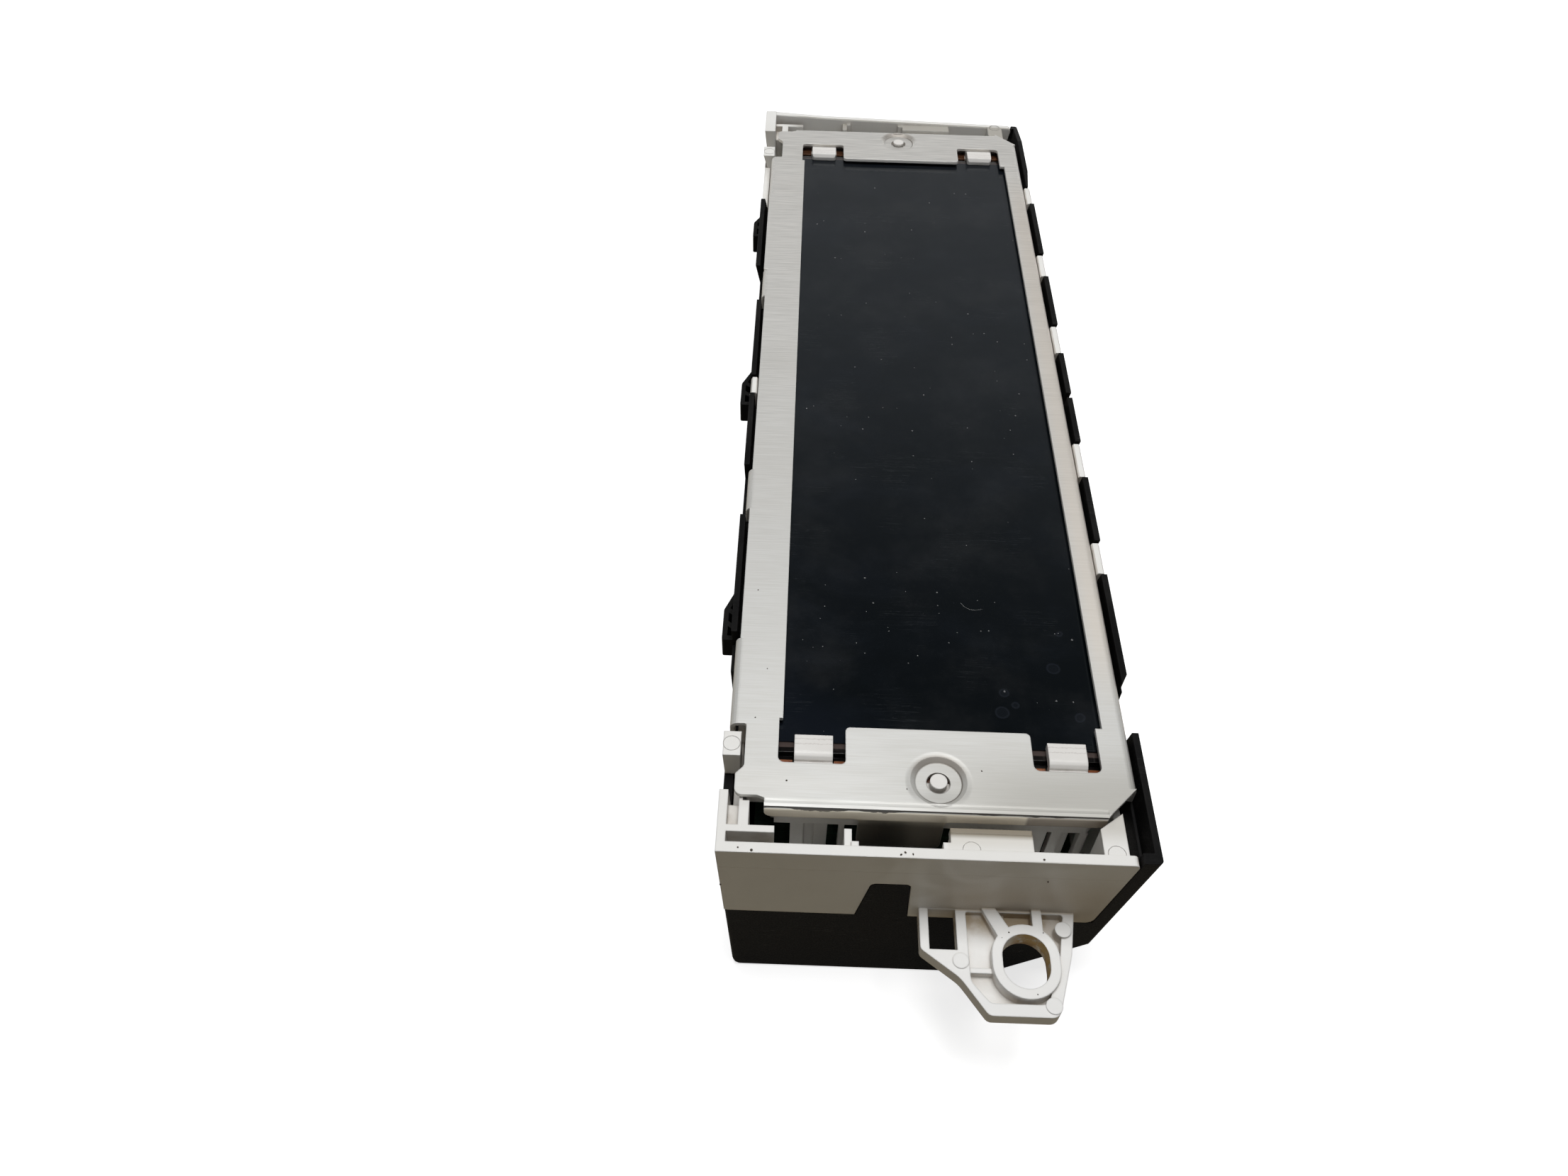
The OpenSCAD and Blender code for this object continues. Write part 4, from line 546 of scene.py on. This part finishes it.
SCUFF_LINES, CLIP_TOP = (70.75, 71.45), 32.3
carrier_white, tree, shader = finish("carrier_white", Specular_IOR_Level=0.5)
y, z = place_xyz(tree)[1:]
skin = serve(tree, moulded_skin, Cloud_scale=90.0, Grain_scale=4600.0)
edges = serve(tree, soft_edges, Radius=0.00025)
grime_and_shade = serve(tree, sheltered_corners, Distance=0.0016, Patchiness=0.6)
ragged = maths(tree, "MULTIPLY_ADD", skin["Grain"], 0.5, apart(tree, y, 0.0))
scuff_marks = [ramp(tree, apart(tree, ragged, line), 0.1, 0.02) for line in SCUFF_LINES]
scuffed = times(tree, maths(tree, "MAXIMUM", *scuff_marks), above(tree, z, CLIP_TOP))
colour = tint(tree, skin["Cloud"], (0.78, 0.765, 0.735), (0.72, 0.7, 0.67))
colour = tint(tree, scuffed, colour, (0.42, 0.38, 0.36), 0.45)
# Grime and painted shade in its corners
colour = tint(tree, grime_and_shade["Sheltered"], colour, (0.2, 0.155, 0.115), 0.55)
lay(tree, shader, colour, matt(tree, skin, 0.3, 0.42), skin["Height"], 0.000012, edges["Normal"])
wear("lcd_carrier", carrier_white)

# ------------------------------------------------------------------- housing
# White moulded frame with satin faces, a mounting lug at each end and snap fingers along the
# sides. It has yellowed a little, grime and painted shade lie in its corners, and a screw has
# left a brown stain on the wall of the near slot. Shade and light are also painted on its end
# walls, its lugs and the tops under the folds.

SLOT_X, SLOT_Y, SLOT_REACH = 11.7, -92.45, 3.55
SLOT_RIM, LUG_FLOOR, LUG_START = 19.68, 18.9, 86.0
END_WALL, WARM_X, WET_X, MOULD_LINE_Z = 85.6, 12.0, 5.0, 28.0
PAD_X, PAD_HALF, COLUMN_X = 6.5, 5.0, 16.0
UNDER_FOLD_Z, NEAR_FOLD, FOLD_EDGE, FAR_WALL = 31.0, -79.0, 79.6, 84.9

housing_white, tree, shader = finish("housing_white", Specular_IOR_Level=0.32)
x, y, z = place_xyz(tree)
from_middle = maths(tree, "ABSOLUTE", y)
skin = serve(tree, moulded_skin, Cloud_scale=55.0, Grain_scale=4200.0)
edges = serve(tree, soft_edges, Radius=0.0003)
grime_and_shade = serve(tree, sheltered_corners, Distance=0.0022, Patchiness=0.55)
broad_shade = serve(tree, sheltered_corners, Distance=0.007, Patchiness=0.1)
dust = serve(tree, settled_dust, Speck_size=0.08, Cells=420.0, Share=0.2)
colour = tint(tree, skin["Cloud"], (0.83, 0.825, 0.8), (0.785, 0.775, 0.745))
# Broad painted shade in wide hollows, then grime and painted shade in tight corners
colour = tint(tree, broad_shade["Sheltered"], colour, (0.45, 0.4, 0.33), 0.14)
colour = tint(tree, grime_and_shade["Sheltered"], colour, (0.26, 0.195, 0.13), 0.55)
colour = tint(tree, dust["Specks"], colour, (0.12, 0.1, 0.08), 0.7)
# Painted light: the lugs are whiter than the case, with brown grime and painted shade in their
# corners
outboard = ramp(tree, from_middle, LUG_START, LUG_START + 1.5)
colour = tint(tree, outboard, colour, (0.95, 0.95, 0.94), 0.55)
colour = tint(tree, times(tree, grime_and_shade["Sheltered"], outboard), colour, (0.3, 0.22, 0.13), 0.4)
# Rust-coloured stain on the slot's wall, strongest on its far right side
across = minus(tree, x, SLOT_X)
along = minus(tree, y, SLOT_Y)
on_slot_wall = times(tree, below(tree, span(tree, across, along), SLOT_REACH),
                     below(tree, z, SLOT_RIM))
far_right = ramp(tree, maths(tree, "MULTIPLY_ADD", along, 0.75, across), 0.2, 2.4)
blotch = ramp(tree, cloudy(tree, 900.0, 6.0, Roughness=0.7), 0.3, 0.52)
rust = tint(tree, ramp(tree, z, 18.4, 16.8), (0.62, 0.43, 0.17), (0.33, 0.18, 0.06))
colour = tint(tree, times(tree, on_slot_wall, far_right, blotch), colour, rust, 0.95)
# End walls: dried water marks right of the middle, and a warm painted shade right of the middle
# that darkens towards the bottom
on_end = above(tree, from_middle, END_WALL)
on_lug = above(tree, from_middle, LUG_START)
wet_rim = ramp(tree, apart(tree, cloudy(tree, 120.0, 1.0, Distortion=0.5), 0.5), 0.14, 0.02)
wet = times(tree, minus(tree, 1.0, wet_rim), on_end,
            ramp(tree, apart(tree, x, WET_X), 15.0, 8.0), ramp(tree, z, 20.0, 23.0))
colour = tint(tree, wet, colour, (0.4, 0.36, 0.28), 0.2)
# Warm painted shade on the end wall, darker towards the bottom
warm_shade = times(tree, ramp(tree, z, 31.5, 22.0),
                maths(tree, "SUBTRACT", on_end, on_lug, clamp=True),
                ramp(tree, apart(tree, x, WARM_X), 14.0, 8.0))
colour = tint(tree, warm_shade, colour, (0.44, 0.355, 0.24), 0.6)
# Brown dirt has run down from the wall on to the lug's floor, between the ribs
foot = times(tree, on_lug, below(tree, z, LUG_FLOOR),
             ramp(tree, from_middle, 90.0, 86.6),
             ramp(tree, cloudy(tree, 420.0, 4.0), 0.35, 0.6, 0.4, 0.95))
colour = tint(tree, foot, colour, (0.36, 0.28, 0.18))
# Painted shade where the pad and the column run in under the near fold, with a dark brown painted
# shadow along the back of the pad
inboard = times(tree, above(tree, z, UNDER_FOLD_Z), below(tree, y, NEAR_FOLD))
on_pad = times(tree, inboard, ramp(tree, apart(tree, x, PAD_X), PAD_HALF + 0.4, PAD_HALF))
colour = tint(tree, times(tree, on_pad, ramp(tree, y, -85.0, -83.0, 0.0, 0.4)),
              colour, (0.6, 0.56, 0.48))
colour = tint(tree, times(tree, on_pad, ramp(tree, y, -83.1, -82.2, 0.0, 0.9)),
              colour, (0.2, 0.165, 0.11))
on_column = times(tree, inboard, above(tree, x, COLUMN_X))
colour = tint(tree, times(tree, on_column, ramp(tree, y, -83.6, -80.6, 0.0, 0.5)),
              colour, (0.42, 0.39, 0.33))
# Painted shade: the tops of whatever stands behind the far fold are grey
behind_fold = times(tree, above(tree, y, FOLD_EDGE), below(tree, y, FAR_WALL),
                    ramp(tree, x, -24.0, -18.0), above(tree, upwards(tree), 0.7))
colour = tint(tree, behind_fold, colour, (0.27, 0.25, 0.205), 0.75)
# The line where the mould's halves met
mould_line = times(tree, on_end, ramp(tree, apart(tree, z, MOULD_LINE_Z), 0.14, 0.04))
colour = tint(tree, mould_line, colour, (0.4, 0.36, 0.3), 0.14)
lay(tree, shader, colour, matt(tree, skin, 0.34, 0.48),
    maths(tree, "MULTIPLY_ADD", mould_line, 1.2, skin["Height"]), 0.000014, edges["Normal"])
wear("housing", housing_white)


def set_out(name, data):
    """New object at the origin."""
    obj = bpy.data.objects.new(name, data)
    bpy.context.scene.collection.objects.link(obj)
    return obj


def points_at(name, spots):
    """Object with one bare point for each place in millimetres."""
    mesh = bpy.data.meshes.new(name)
    mesh.from_pydata([Vector(spot) * MM for spot in spots], [], [])
    return set_out(name, mesh)


def growth(name, sizes):
    """Empty Geometry Nodes tree that takes points, named sizes and a material."""
    tree = bpy.data.node_groups.new(name, "GeometryNodeTree")
    face = tree.interface
    face.new_socket("Geometry", in_out="INPUT", socket_type="NodeSocketGeometry")
    for label, value in sizes.items():
        face.new_socket(label, in_out="INPUT",
                        socket_type="NodeSocketFloat").default_value = value
    face.new_socket("Stuff", in_out="INPUT", socket_type="NodeSocketMaterial")
    face.new_socket("Geometry", in_out="OUTPUT", socket_type="NodeSocketGeometry")
    return (tree, tree.nodes.new("NodeGroupInput").outputs,
            tree.nodes.new("NodeGroupOutput").inputs)


def make_real(tree, instances, entry, leave):
    """Ends a tree: its instances become plain geometry in the given material."""
    real = ingredient(tree, "GeometryNodeRealizeInstances", {"Geometry": instances})
    coat = ingredient(tree, "GeometryNodeSetMaterial",
                      {"Geometry": real.outputs["Geometry"], "Material": entry["Stuff"]})
    tree.links.new(coat.outputs["Geometry"], leave["Geometry"])


def socket_id(tree, label):
    """Identifier by which a modifier knows one of a tree's named inputs."""
    return next(s.identifier for s in tree.interface.items_tree
                if s.item_type == "SOCKET" and s.in_out == "INPUT" and s.name == label)


def plain_mesh(obj):
    """What an object looks like once evaluated, as a mesh of its own."""
    bpy.context.view_layer.update()
    ready = obj.evaluated_get(bpy.context.evaluated_depsgraph_get())
    return bpy.data.meshes.new_from_object(ready)


def grown(obj, tree, sizes, material):
    """Runs a Geometry Nodes tree on obj, keeps its result as a plain mesh and lets it ride."""
    modifier = obj.modifiers.new(tree.name, "NODES")
    modifier.node_group = tree
    for label, value in {**sizes, "Stuff": material}.items():
        modifier[socket_id(tree, label)] = value
    plain = plain_mesh(obj)
    obj.modifiers.clear()
    obj.data = plain
    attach(obj, "root")


# Witness rings left by the mould's ejector pins, one bead of plastic round each pin's place
ejector_rings = points_at("ejector_rings", [(-24.75, -71.15, 32.2), (-25.7, 71.15, 32.2),
                                            (21.05, -84.3, 31.7), (21.05, 84.3, 31.7),
                                            (4.1, -84.4, 31.64)])
RING_SIZES = {"Ring radius": 0.00105, "Bead radius": 0.00005}
stamp, entry, leave = growth("ring_stamp", RING_SIZES)
hoop = ingredient(stamp, "GeometryNodeCurvePrimitiveCircle",
                  {"Resolution": 40, "Radius": entry["Ring radius"]})
bead = ingredient(stamp, "GeometryNodeCurvePrimitiveCircle",
                  {"Resolution": 6, "Radius": entry["Bead radius"]})
tube = ingredient(stamp, "GeometryNodeCurveToMesh",
                  {"Curve": hoop.outputs["Curve"], "Profile Curve": bead.outputs["Curve"]})
set_down = ingredient(stamp, "GeometryNodeInstanceOnPoints",
                      {"Points": entry["Geometry"], "Instance": tube.outputs["Mesh"]})
make_real(stamp, set_down.outputs["Instances"], entry, leave)

# The block under the near fold runs back almost to the bezel's flange
LEDGE_MIDDLE, LEDGE_SIZE, LEDGE_BEVEL = (6.55, -81.95, 30.9), (9.68, 0.74, 1.48), 0.00008
ledge_form = bmesh.new()
bmesh.ops.create_cube(ledge_form, size=1.0)
for corner in ledge_form.verts:
    corner.co = Vector([middle + side * size for middle, side, size
                        in zip(LEDGE_MIDDLE, corner.co, LEDGE_SIZE)]) * MM
bmesh.ops.bevel(ledge_form, geom=ledge_form.edges, offset=LEDGE_BEVEL, segments=2,
                profile=0.6, affect="EDGES")
ledge_mesh = bpy.data.meshes.new("block_ledge")
ledge_form.to_mesh(ledge_mesh)
ledge_form.free()
ledge_mesh.materials.append(housing_white)
block_ledge = set_out("block_ledge", ledge_mesh)
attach(block_ledge, "root")

grown(ejector_rings, stamp, RING_SIZES, housing_white)

# --------------------------------------------------------------------- bezel
# Pressed and folded steel sheet with a grain that runs across the unit. A ragged dark line of
# painted shade runs along the bend of each end fold, and a few dark pits mark the flat. Light,
# shade and reflections are also painted along its length, in its dimples and on its end flanges.

brushed_sheet, given, result = recipe("brushed_sheet", {"Stroke": 38.0, "Fineness": 5200.0},
                                      {"Strokes": "Float", "Broad": "Float"})
tree = brushed_sheet
drawn = ingredient(tree, "ShaderNodeCombineXYZ",
                   {0: given["Stroke"], 1: given["Fineness"], 2: given["Fineness"]})
laid = ingredient(tree, "ShaderNodeVectorMath", {0: here(tree), 1: drawn.outputs[0]},
                  operation="MULTIPLY").outputs[0]
wide = ingredient(tree, "ShaderNodeVectorMath", {0: laid, 1: (0.5, 0.12, 0.12)},
                  operation="MULTIPLY").outputs[0]
tree.links.new(cloudy(tree, 1.0, 3.0, laid), result["Strokes"])
tree.links.new(cloudy(tree, 1.0, 2.0, wide), result["Broad"])

DIMPLE_X, DIMPLE_Y, DISC_RADIUS = 0.6, 75.8, 2.88
FOLD_START, FLANGE_TOP, FOLD_SHADE_TOP = 79.5, 31.9, 32.14
SPLAY_REACH, SPLAY_RISE = 2.0, 85.0

bezel_steel, tree, shader = finish("bezel_steel", Metallic=1.0)
x, y, z = place_xyz(tree)
from_middle = maths(tree, "ABSOLUTE", y)
strokes = serve(tree, brushed_sheet, Stroke=160.0, Fineness=6500.0)
edges = serve(tree, soft_edges, Radius=0.00018)
grime_and_shade = serve(tree, sheltered_corners, Distance=0.0018, Patchiness=0.6)
scuffs = serve(tree, fine_scratches, Length_scale=55.0, Amount=0.35)
dust = serve(tree, settled_dust, Speck_size=0.07, Cells=260.0, Share=0.12)
smudge = serve(tree, wiped_smudges, Size=45.0)["Smudge"]
# Painted light: the steel is darker at the near end and lighter at the far end
colour = tint(tree, ramp(tree, y, -80.0, 80.0), (0.59, 0.59, 0.575), (0.83, 0.815, 0.785))
colour = tint(tree, ramp(tree, strokes["Strokes"], 0.3, 0.7), colour, (0.555, 0.55, 0.525), 0.7)
colour = tint(tree, smudge, colour, (0.56, 0.54, 0.5), 0.2)
# The near right corner is darker and the right-hand rail warmer
darker_corner = times(tree, ramp(tree, y, -68.0, -78.0), ramp(tree, x, -12.0, 14.0))
colour = tint(tree, darker_corner, colour, (0.4, 0.39, 0.36), 0.8)
colour = tint(tree, scuffs["Lines"], colour, (0.4, 0.39, 0.37), 0.6)
rail = times(tree, ramp(tree, x, 20.5, 23.0), ramp(tree, from_middle, 68.0, 50.0))
colour = tint(tree, rail, colour, (0.7, 0.635, 0.56), 0.5)
# Each dimple is drawn in softly: its far wall is painted dark as shade, its near wall painted
# only a little darker
dimple_dx = minus(tree, x, DIMPLE_X)
dimple_dy = minus(tree, y, times(tree, maths(tree, "SIGN", y), DIMPLE_Y))
dimple_reach = span(tree, dimple_dx, dimple_dy)
drawn_in = times(tree, ramp(tree, dimple_reach, 4.2, 3.3),
                 ramp(tree, dimple_dy, -3.4, -1.0, 0.15, 1.0))
on_slope = times(tree, ramp(tree, dimple_reach, 4.0, 3.2), ramp(tree, dimple_reach, 2.65, 2.85))
far_slope_shade = times(tree, on_slope, ramp(tree, dimple_dy, -0.5, 2.6, 0.0, 0.6))
near_slope_shade = times(tree, on_slope, ramp(tree, dimple_dy, 0.3, -2.6, 0.0, 0.4))
colour = tint(tree, far_slope_shade, colour, (0.2, 0.165, 0.13))
colour = tint(tree, near_slope_shade, colour, (0.6, 0.59, 0.56))
# A thin dark line of painted shade runs round the disc's near right edge
disc_edge_shade = times(tree, ramp(tree, apart(tree, dimple_reach, DISC_RADIUS), 0.13, 0.03),
                  ramp(tree, minus(tree, dimple_dx, dimple_dy), -2.0, 2.4, 0.15, 0.75))
colour = tint(tree, disc_edge_shade, colour, (0.16, 0.14, 0.12))
# Flanges at the ends: smoother, painted beige as a reflection of what lies below, turning dark
# lower down and right of the pad where they mirror the gap, under a ragged dark line of painted
# shade along the fold
past_fold = above(tree, from_middle, FOLD_START)
on_flange = times(tree, ramp(tree, z, FLANGE_TOP, FLANGE_TOP - 0.2), past_fold)
over_pad = ramp(tree, apart(tree, x, PAD_X), 5.3, 4.7)
# Painted reflection: beige over the pad, darker right of it and lower down
flange_reflection = tint(tree, ramp(tree, x, 10.8, 11.3), (0.86, 0.8, 0.68), (0.45, 0.4, 0.34))
flange_foot_reflection = ramp(tree, maths(tree, "MULTIPLY_ADD", over_pad, 3.0, z), 30.4, 28.4)
colour = tint(tree, on_flange, colour,
              tint(tree, flange_foot_reflection, flange_reflection, (0.3, 0.26, 0.21)), 0.9)
# A ragged dark line of painted shade along the bend of the fold
ragged = times(tree, ramp(tree, cloudy(tree, 130.0, 3.0), 0.45, 0.62), cloudy(tree, 1500.0, 4.0))
fold_shade_depth = maths(tree, "MULTIPLY_ADD", ragged, 0.75, 0.2)
below_top = minus(tree, FOLD_SHADE_TOP, z)
in_fold_shade = times(tree, below(tree, below_top, fold_shade_depth), above(tree, below_top, 0.0), past_fold)
colour = tint(tree, in_fold_shade, colour, (0.035, 0.03, 0.026), 0.8)
# Grime and painted shade in its hollows
colour = tint(tree, grime_and_shade["Sheltered"], colour, (0.2, 0.165, 0.12), 0.2)
colour = tint(tree, dust["Specks"], colour, (0.14, 0.12, 0.1), 0.7)
colour = tint(tree, edges["Edge"], colour, (0.85, 0.85, 0.83), 0.35)
satin = ramp(tree, strokes["Broad"], 0.3, 0.7, 0.56, 0.585)
satin = maths(tree, "MULTIPLY_ADD", strokes["Strokes"], 0.08, satin)
satin = maths(tree, "MULTIPLY_ADD", on_flange,
              maths(tree, "MULTIPLY_ADD", over_pad, 0.3, -0.22), satin)
# The end flanges splay outwards a little below the fold
dropped = maths(tree, "MAXIMUM", minus(tree, FLANGE_TOP, z), 0.0)
splay = times(tree, maths(tree, "MINIMUM", dropped, SPLAY_REACH), past_fold, SPLAY_RISE)
surface = maths(tree, "MULTIPLY_ADD", drawn_in, -26.0,
                maths(tree, "ADD", strokes["Strokes"], splay))
# The flat looks straight right up to the painted dark line, so the bend above it faces almost
# upwards
flat_bend = times(tree, ramp(tree, z, 32.1, 32.2), past_fold, 0.8)
facing = ingredient(tree, "ShaderNodeMix",
                    {0: flat_bend, 4: edges["Normal"], 5: (0.0, 0.0, 1.0)},
                    data_type="VECTOR")
facing = ingredient(tree, "ShaderNodeVectorMath", {0: facing.outputs[1]}, operation="NORMALIZE")
lay(tree, shader, colour, maths(tree, "MULTIPLY_ADD", in_fold_shade, 0.2, satin),
    surface, 0.000005, facing.outputs[0])
wear("bezel", bezel_steel)

# -------------------------------------------------------- specks, lint, dust
# What has settled on the unit: dark grit on the bezel, the near end wall and the near lug,
# pale crumbs of dust on the window, and one short pale fibre. Each crumb is an uneven flake.

dark_grit = grained("dark_grit", (0.035, 0.028, 0.02), (0.08, 0.065, 0.05), 2500.0, 15000.0,
                    (0.6, 0.85), Specular_IOR_Level=0.3)
pale_dust = grained("pale_dust", (0.16, 0.165, 0.17), (0.32, 0.32, 0.31), 2500.0, 15000.0,
                    (0.7, 0.9), Specular_IOR_Level=0.3)

FULL_TURN = 6.28
crumbs, entry, leave = growth("crumb_scatter",
                              {"Crumb size": 0.0001, "Flatness": 0.3, "Unevenness": 0.5})
ball = ingredient(crumbs, "GeometryNodeMeshIcoSphere",
                  {"Radius": entry["Crumb size"], "Subdivisions": 2})
turned = ingredient(crumbs, "FunctionNodeRandomValue",
                    {0: (0.0, 0.0, 0.0), 1: (0.0, 0.0, FULL_TURN), "Seed": 7},
                    data_type="FLOAT_VECTOR")
smallest = minus(crumbs, 1.0, entry["Unevenness"])
spread = ingredient(crumbs, "FunctionNodeRandomValue", {2: smallest, 3: 1.0, "Seed": 11},
                    data_type="FLOAT")
stretch = ingredient(crumbs, "FunctionNodeRandomValue", {2: 0.55, 3: 1.3, "Seed": 19},
                     data_type="FLOAT")
width = spread.outputs[1]
shape = ingredient(crumbs, "ShaderNodeCombineXYZ",
                   {0: width, 1: times(crumbs, width, stretch.outputs[1]),
                    2: times(crumbs, width, entry["Flatness"])})
set_down = ingredient(crumbs, "GeometryNodeInstanceOnPoints",
                      {"Points": entry["Geometry"], "Instance": ball.outputs["Mesh"],
                       "Rotation": turned.outputs[0], "Scale": shape.outputs[0]})
make_real(crumbs, set_down.outputs["Instances"], entry, leave)


def crumbs_at(name, spots, size, flatness, unevenness, material):
    """Scatters crumbs on a list of places in millimetres."""
    grown(points_at(name, spots), crumbs,
          {"Crumb size": size, "Flatness": flatness, "Unevenness": unevenness},
          material)


BEZEL_TOP, WALL_TOP, FLOOR_OF_LUG, RIB_TOP, FILM_TOP = 32.6, 31.8, 19.12, 19.72, 31.4
crumbs_at("bezel_grit",
          [(px, py, BEZEL_TOP) for px, py in
           ((-22.6, -46.4), (-20.8, -59.8), (-22.0, -67.5), (-17.8, -76.5), (5.9, -74.2),
            (-3.3, -77.1))],
          0.00013, 0.25, 0.4, dark_grit)
crumbs_at("end_wall_grit",
          [(-25.4, -85.82, 23.5), (13.6, -85.9, 27.3)] + [
              (px, py, WALL_TOP) for px, py in
              ((-4.2, -85.4), (-21.6, -85.5), (-3.7, -85.1), (-2.8, -85.3), (12.4, -85.4),
               (-23.2, -85.2))],
          0.00017, 0.5, 0.5, dark_grit)
crumbs_at("lug_grit",
          [(8.6, -87.0, FLOOR_OF_LUG), (9.3, -87.9, FLOOR_OF_LUG), (8.2, -88.3, FLOOR_OF_LUG),
           (9.9, -88.9, RIB_TOP), (7.6, -86.6, FLOOR_OF_LUG), (13.2, -86.9, FLOOR_OF_LUG),
           (14.1, -88.8, RIB_TOP), (9.0, -89.6, RIB_TOP), (7.9, -91.2, FLOOR_OF_LUG),
           (3.1, -92.6, FLOOR_OF_LUG), (12.6, -96.5, RIB_TOP), (15.9, -91.0, FLOOR_OF_LUG)],
          0.0001, 0.3, 0.6, dark_grit)
crumbs_at("window_dust",
          [(px, py, FILM_TOP) for px, py in
           ((-7.7, -48.6), (-4.8, -51.3), (-4.7, -51.9), (-8.0, -55.8), (-1.0, -55.9),
            (-16.3, -53.9), (-13.4, -47.9), (14.1, -62.9), (17.7, -51.4), (18.2, -51.3),
            (6.9, -35.6), (-14.0, -50.1), (-14.9, -55.1), (-13.6, -54.9), (-9.1, -54.1),
            (2.6, -22.0), (-10.2, -8.5), (11.5, 14.0), (-3.0, 37.0), (6.0, 55.0))],
          0.00009, 0.3, 0.6, pale_dust)

# One short bent fibre lies on the glass, right of the middle
FIBRE_RADIUS, FIBRE_Z = 0.000022, 31.43
FIBRE_PATH = [(5.3, -46.5), (5.8, -47.3), (6.7, -47.75), (7.7, -47.7), (8.2, -47.5)]
lint = bpy.data.curves.new("lint", "CURVE")
lint.dimensions, lint.bevel_depth = "3D", FIBRE_RADIUS
lint.bevel_resolution, lint.resolution_u = 2, 8
thread = lint.splines.new("NURBS")
thread.points.add(len(FIBRE_PATH) - 1)
for point, (px, py) in zip(thread.points, FIBRE_PATH):
    point.co = (px * MM, py * MM, FIBRE_Z * MM, 1.0)
thread.order_u, thread.use_endpoint_u = 3, True
lint_form = set_out("lint_path", lint)
lint_mesh = plain_mesh(lint_form)
bpy.data.objects.remove(lint_form)
fibre = set_out("lint_fibre", lint_mesh)
lint_mesh.materials.clear()
lint_mesh.materials.append(pale_dust)
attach(fibre, "root")

# --------------------------------------------------- floor, daylight, camera
# Pale floor and soft light from straight above, a little towards the near end, as in the
# photograph. The camera sees a plain white room, and glossy faces mirror a shaded one.

FLOOR_HALF, FLOOR_DROP = 6.0, 0.00002
floor_mesh = bpy.data.meshes.new("floor")
floor_form = bmesh.new()
bmesh.ops.create_grid(floor_form, x_segments=2, y_segments=2, size=FLOOR_HALF)
floor_form.to_mesh(floor_mesh)
floor_form.free()
floor = set_out("floor", floor_mesh)
floor.location.z = -FLOOR_DROP
floor_paint = bpy.data.materials.new("floor_paint")
floor_paint.use_nodes = True
tree = floor_paint.node_tree
tree.nodes.clear()
rays = tree.nodes.new("ShaderNodeLightPath").outputs
# The floor bounces a little warm light but looks white, whitest far from the unit
mirrored = maths(tree, "MAXIMUM", times(tree, rays["Is Glossy Ray"], 0.12),
                 rays["Is Transmission Ray"])
seen = maths(tree, "MAXIMUM", rays["Is Camera Ray"], mirrored)
bounce = ingredient(tree, "ShaderNodeBsdfDiffuse", {"Color": (0.25, 0.2, 0.115, 1.0)})
shown = ingredient(tree, "ShaderNodeBsdfDiffuse", {"Color": (0.75, 0.75, 0.75, 1.0)})
from_unit = ingredient(tree, "ShaderNodeVectorMath", {0: here(tree)},
                       operation="LENGTH").outputs["Value"]
lift = ingredient(tree, "ShaderNodeEmission",
                  {"Color": (1.0, 1.0, 1.0, 1.0),
                   "Strength": ramp(tree, from_unit, 0.3, 1.1, 0.72, 1.0)})
white = ingredient(tree, "ShaderNodeAddShader", {0: shown.outputs[0], 1: lift.outputs[0]})
both = ingredient(tree, "ShaderNodeMixShader",
                  {0: seen, 1: bounce.outputs[0], 2: white.outputs[0]})
ingredient(tree, "ShaderNodeOutputMaterial", {"Surface": both.outputs[0]})
floor_mesh.materials.append(floor_paint)

ROOM_LIGHT = 0.09
world = bpy.data.worlds.new("room")
bpy.context.scene.world = world
world.use_nodes = True
tree = world.node_tree
tree.nodes.clear()
rays = tree.nodes.new("ShaderNodeLightPath").outputs
mirrored = maths(tree, "MAXIMUM", rays["Is Glossy Ray"], rays["Is Transmission Ray"])
room = ingredient(tree, "ShaderNodeTexCoord").outputs["Generated"]
height = ingredient(tree, "ShaderNodeSeparateXYZ", {0: room}).outputs[2]
# The mirrored room is bright low down, grey half way up and dim overhead
ceiling = maths(tree, "MAXIMUM", ramp(tree, height, 0.3, 0.5, 1.15, 0.0),
                ramp(tree, height, 0.58, 0.84, 0.42, 0.035))
plain = maths(tree, "MULTIPLY_ADD", mirrored, minus(tree, ceiling, ROOM_LIGHT), ROOM_LIGHT)
air = ingredient(tree, "ShaderNodeBackground",
                 {"Color": (1.0, 1.0, 1.0, 1.0),
                  "Strength": maths(tree, "MAXIMUM", plain, rays["Is Camera Ray"])})
ingredient(tree, "ShaderNodeOutputWorld", {"Surface": air.outputs[0]})


def softbox(name, place, aim, size, power, colour=(1.0, 1.0, 1.0)):
    """Square area lamp at a place in metres, turned towards a point."""
    lamp = bpy.data.lights.new(name, "AREA")
    lamp.shape, lamp.size, lamp.energy, lamp.color = "SQUARE", size, power, colour
    obj = set_out(name, lamp)
    obj.location = place
    obj.rotation_euler = (Vector(aim) - Vector(place)).to_track_quat("-Z", "Y").to_euler()
    return obj


softbox("overhead_light", (0.0, -0.03, 0.6), (0.0, -0.03, 0.03), 0.3, 2.7)
far_light = softbox("far_light", (0.06, 0.5, 0.45), (0.0, 0.0, 0.03), 0.25, 0.7,
                    (1.0, 0.985, 0.96))
far_light.visible_glossy = False

camera = set_out("photo_camera", bpy.data.cameras.new("photo_camera"))
camera.location = (-0.0176892, -0.1514604, 0.1552047)
camera.rotation_euler = (0.71072024, -0.01580489, 0.03141556)
camera.data.lens = 27.0
camera.data.sensor_width = 36.0
camera.data.clip_start = 0.01
bpy.context.scene.camera = camera
bpy.context.scene.view_settings.view_transform = "Standard"
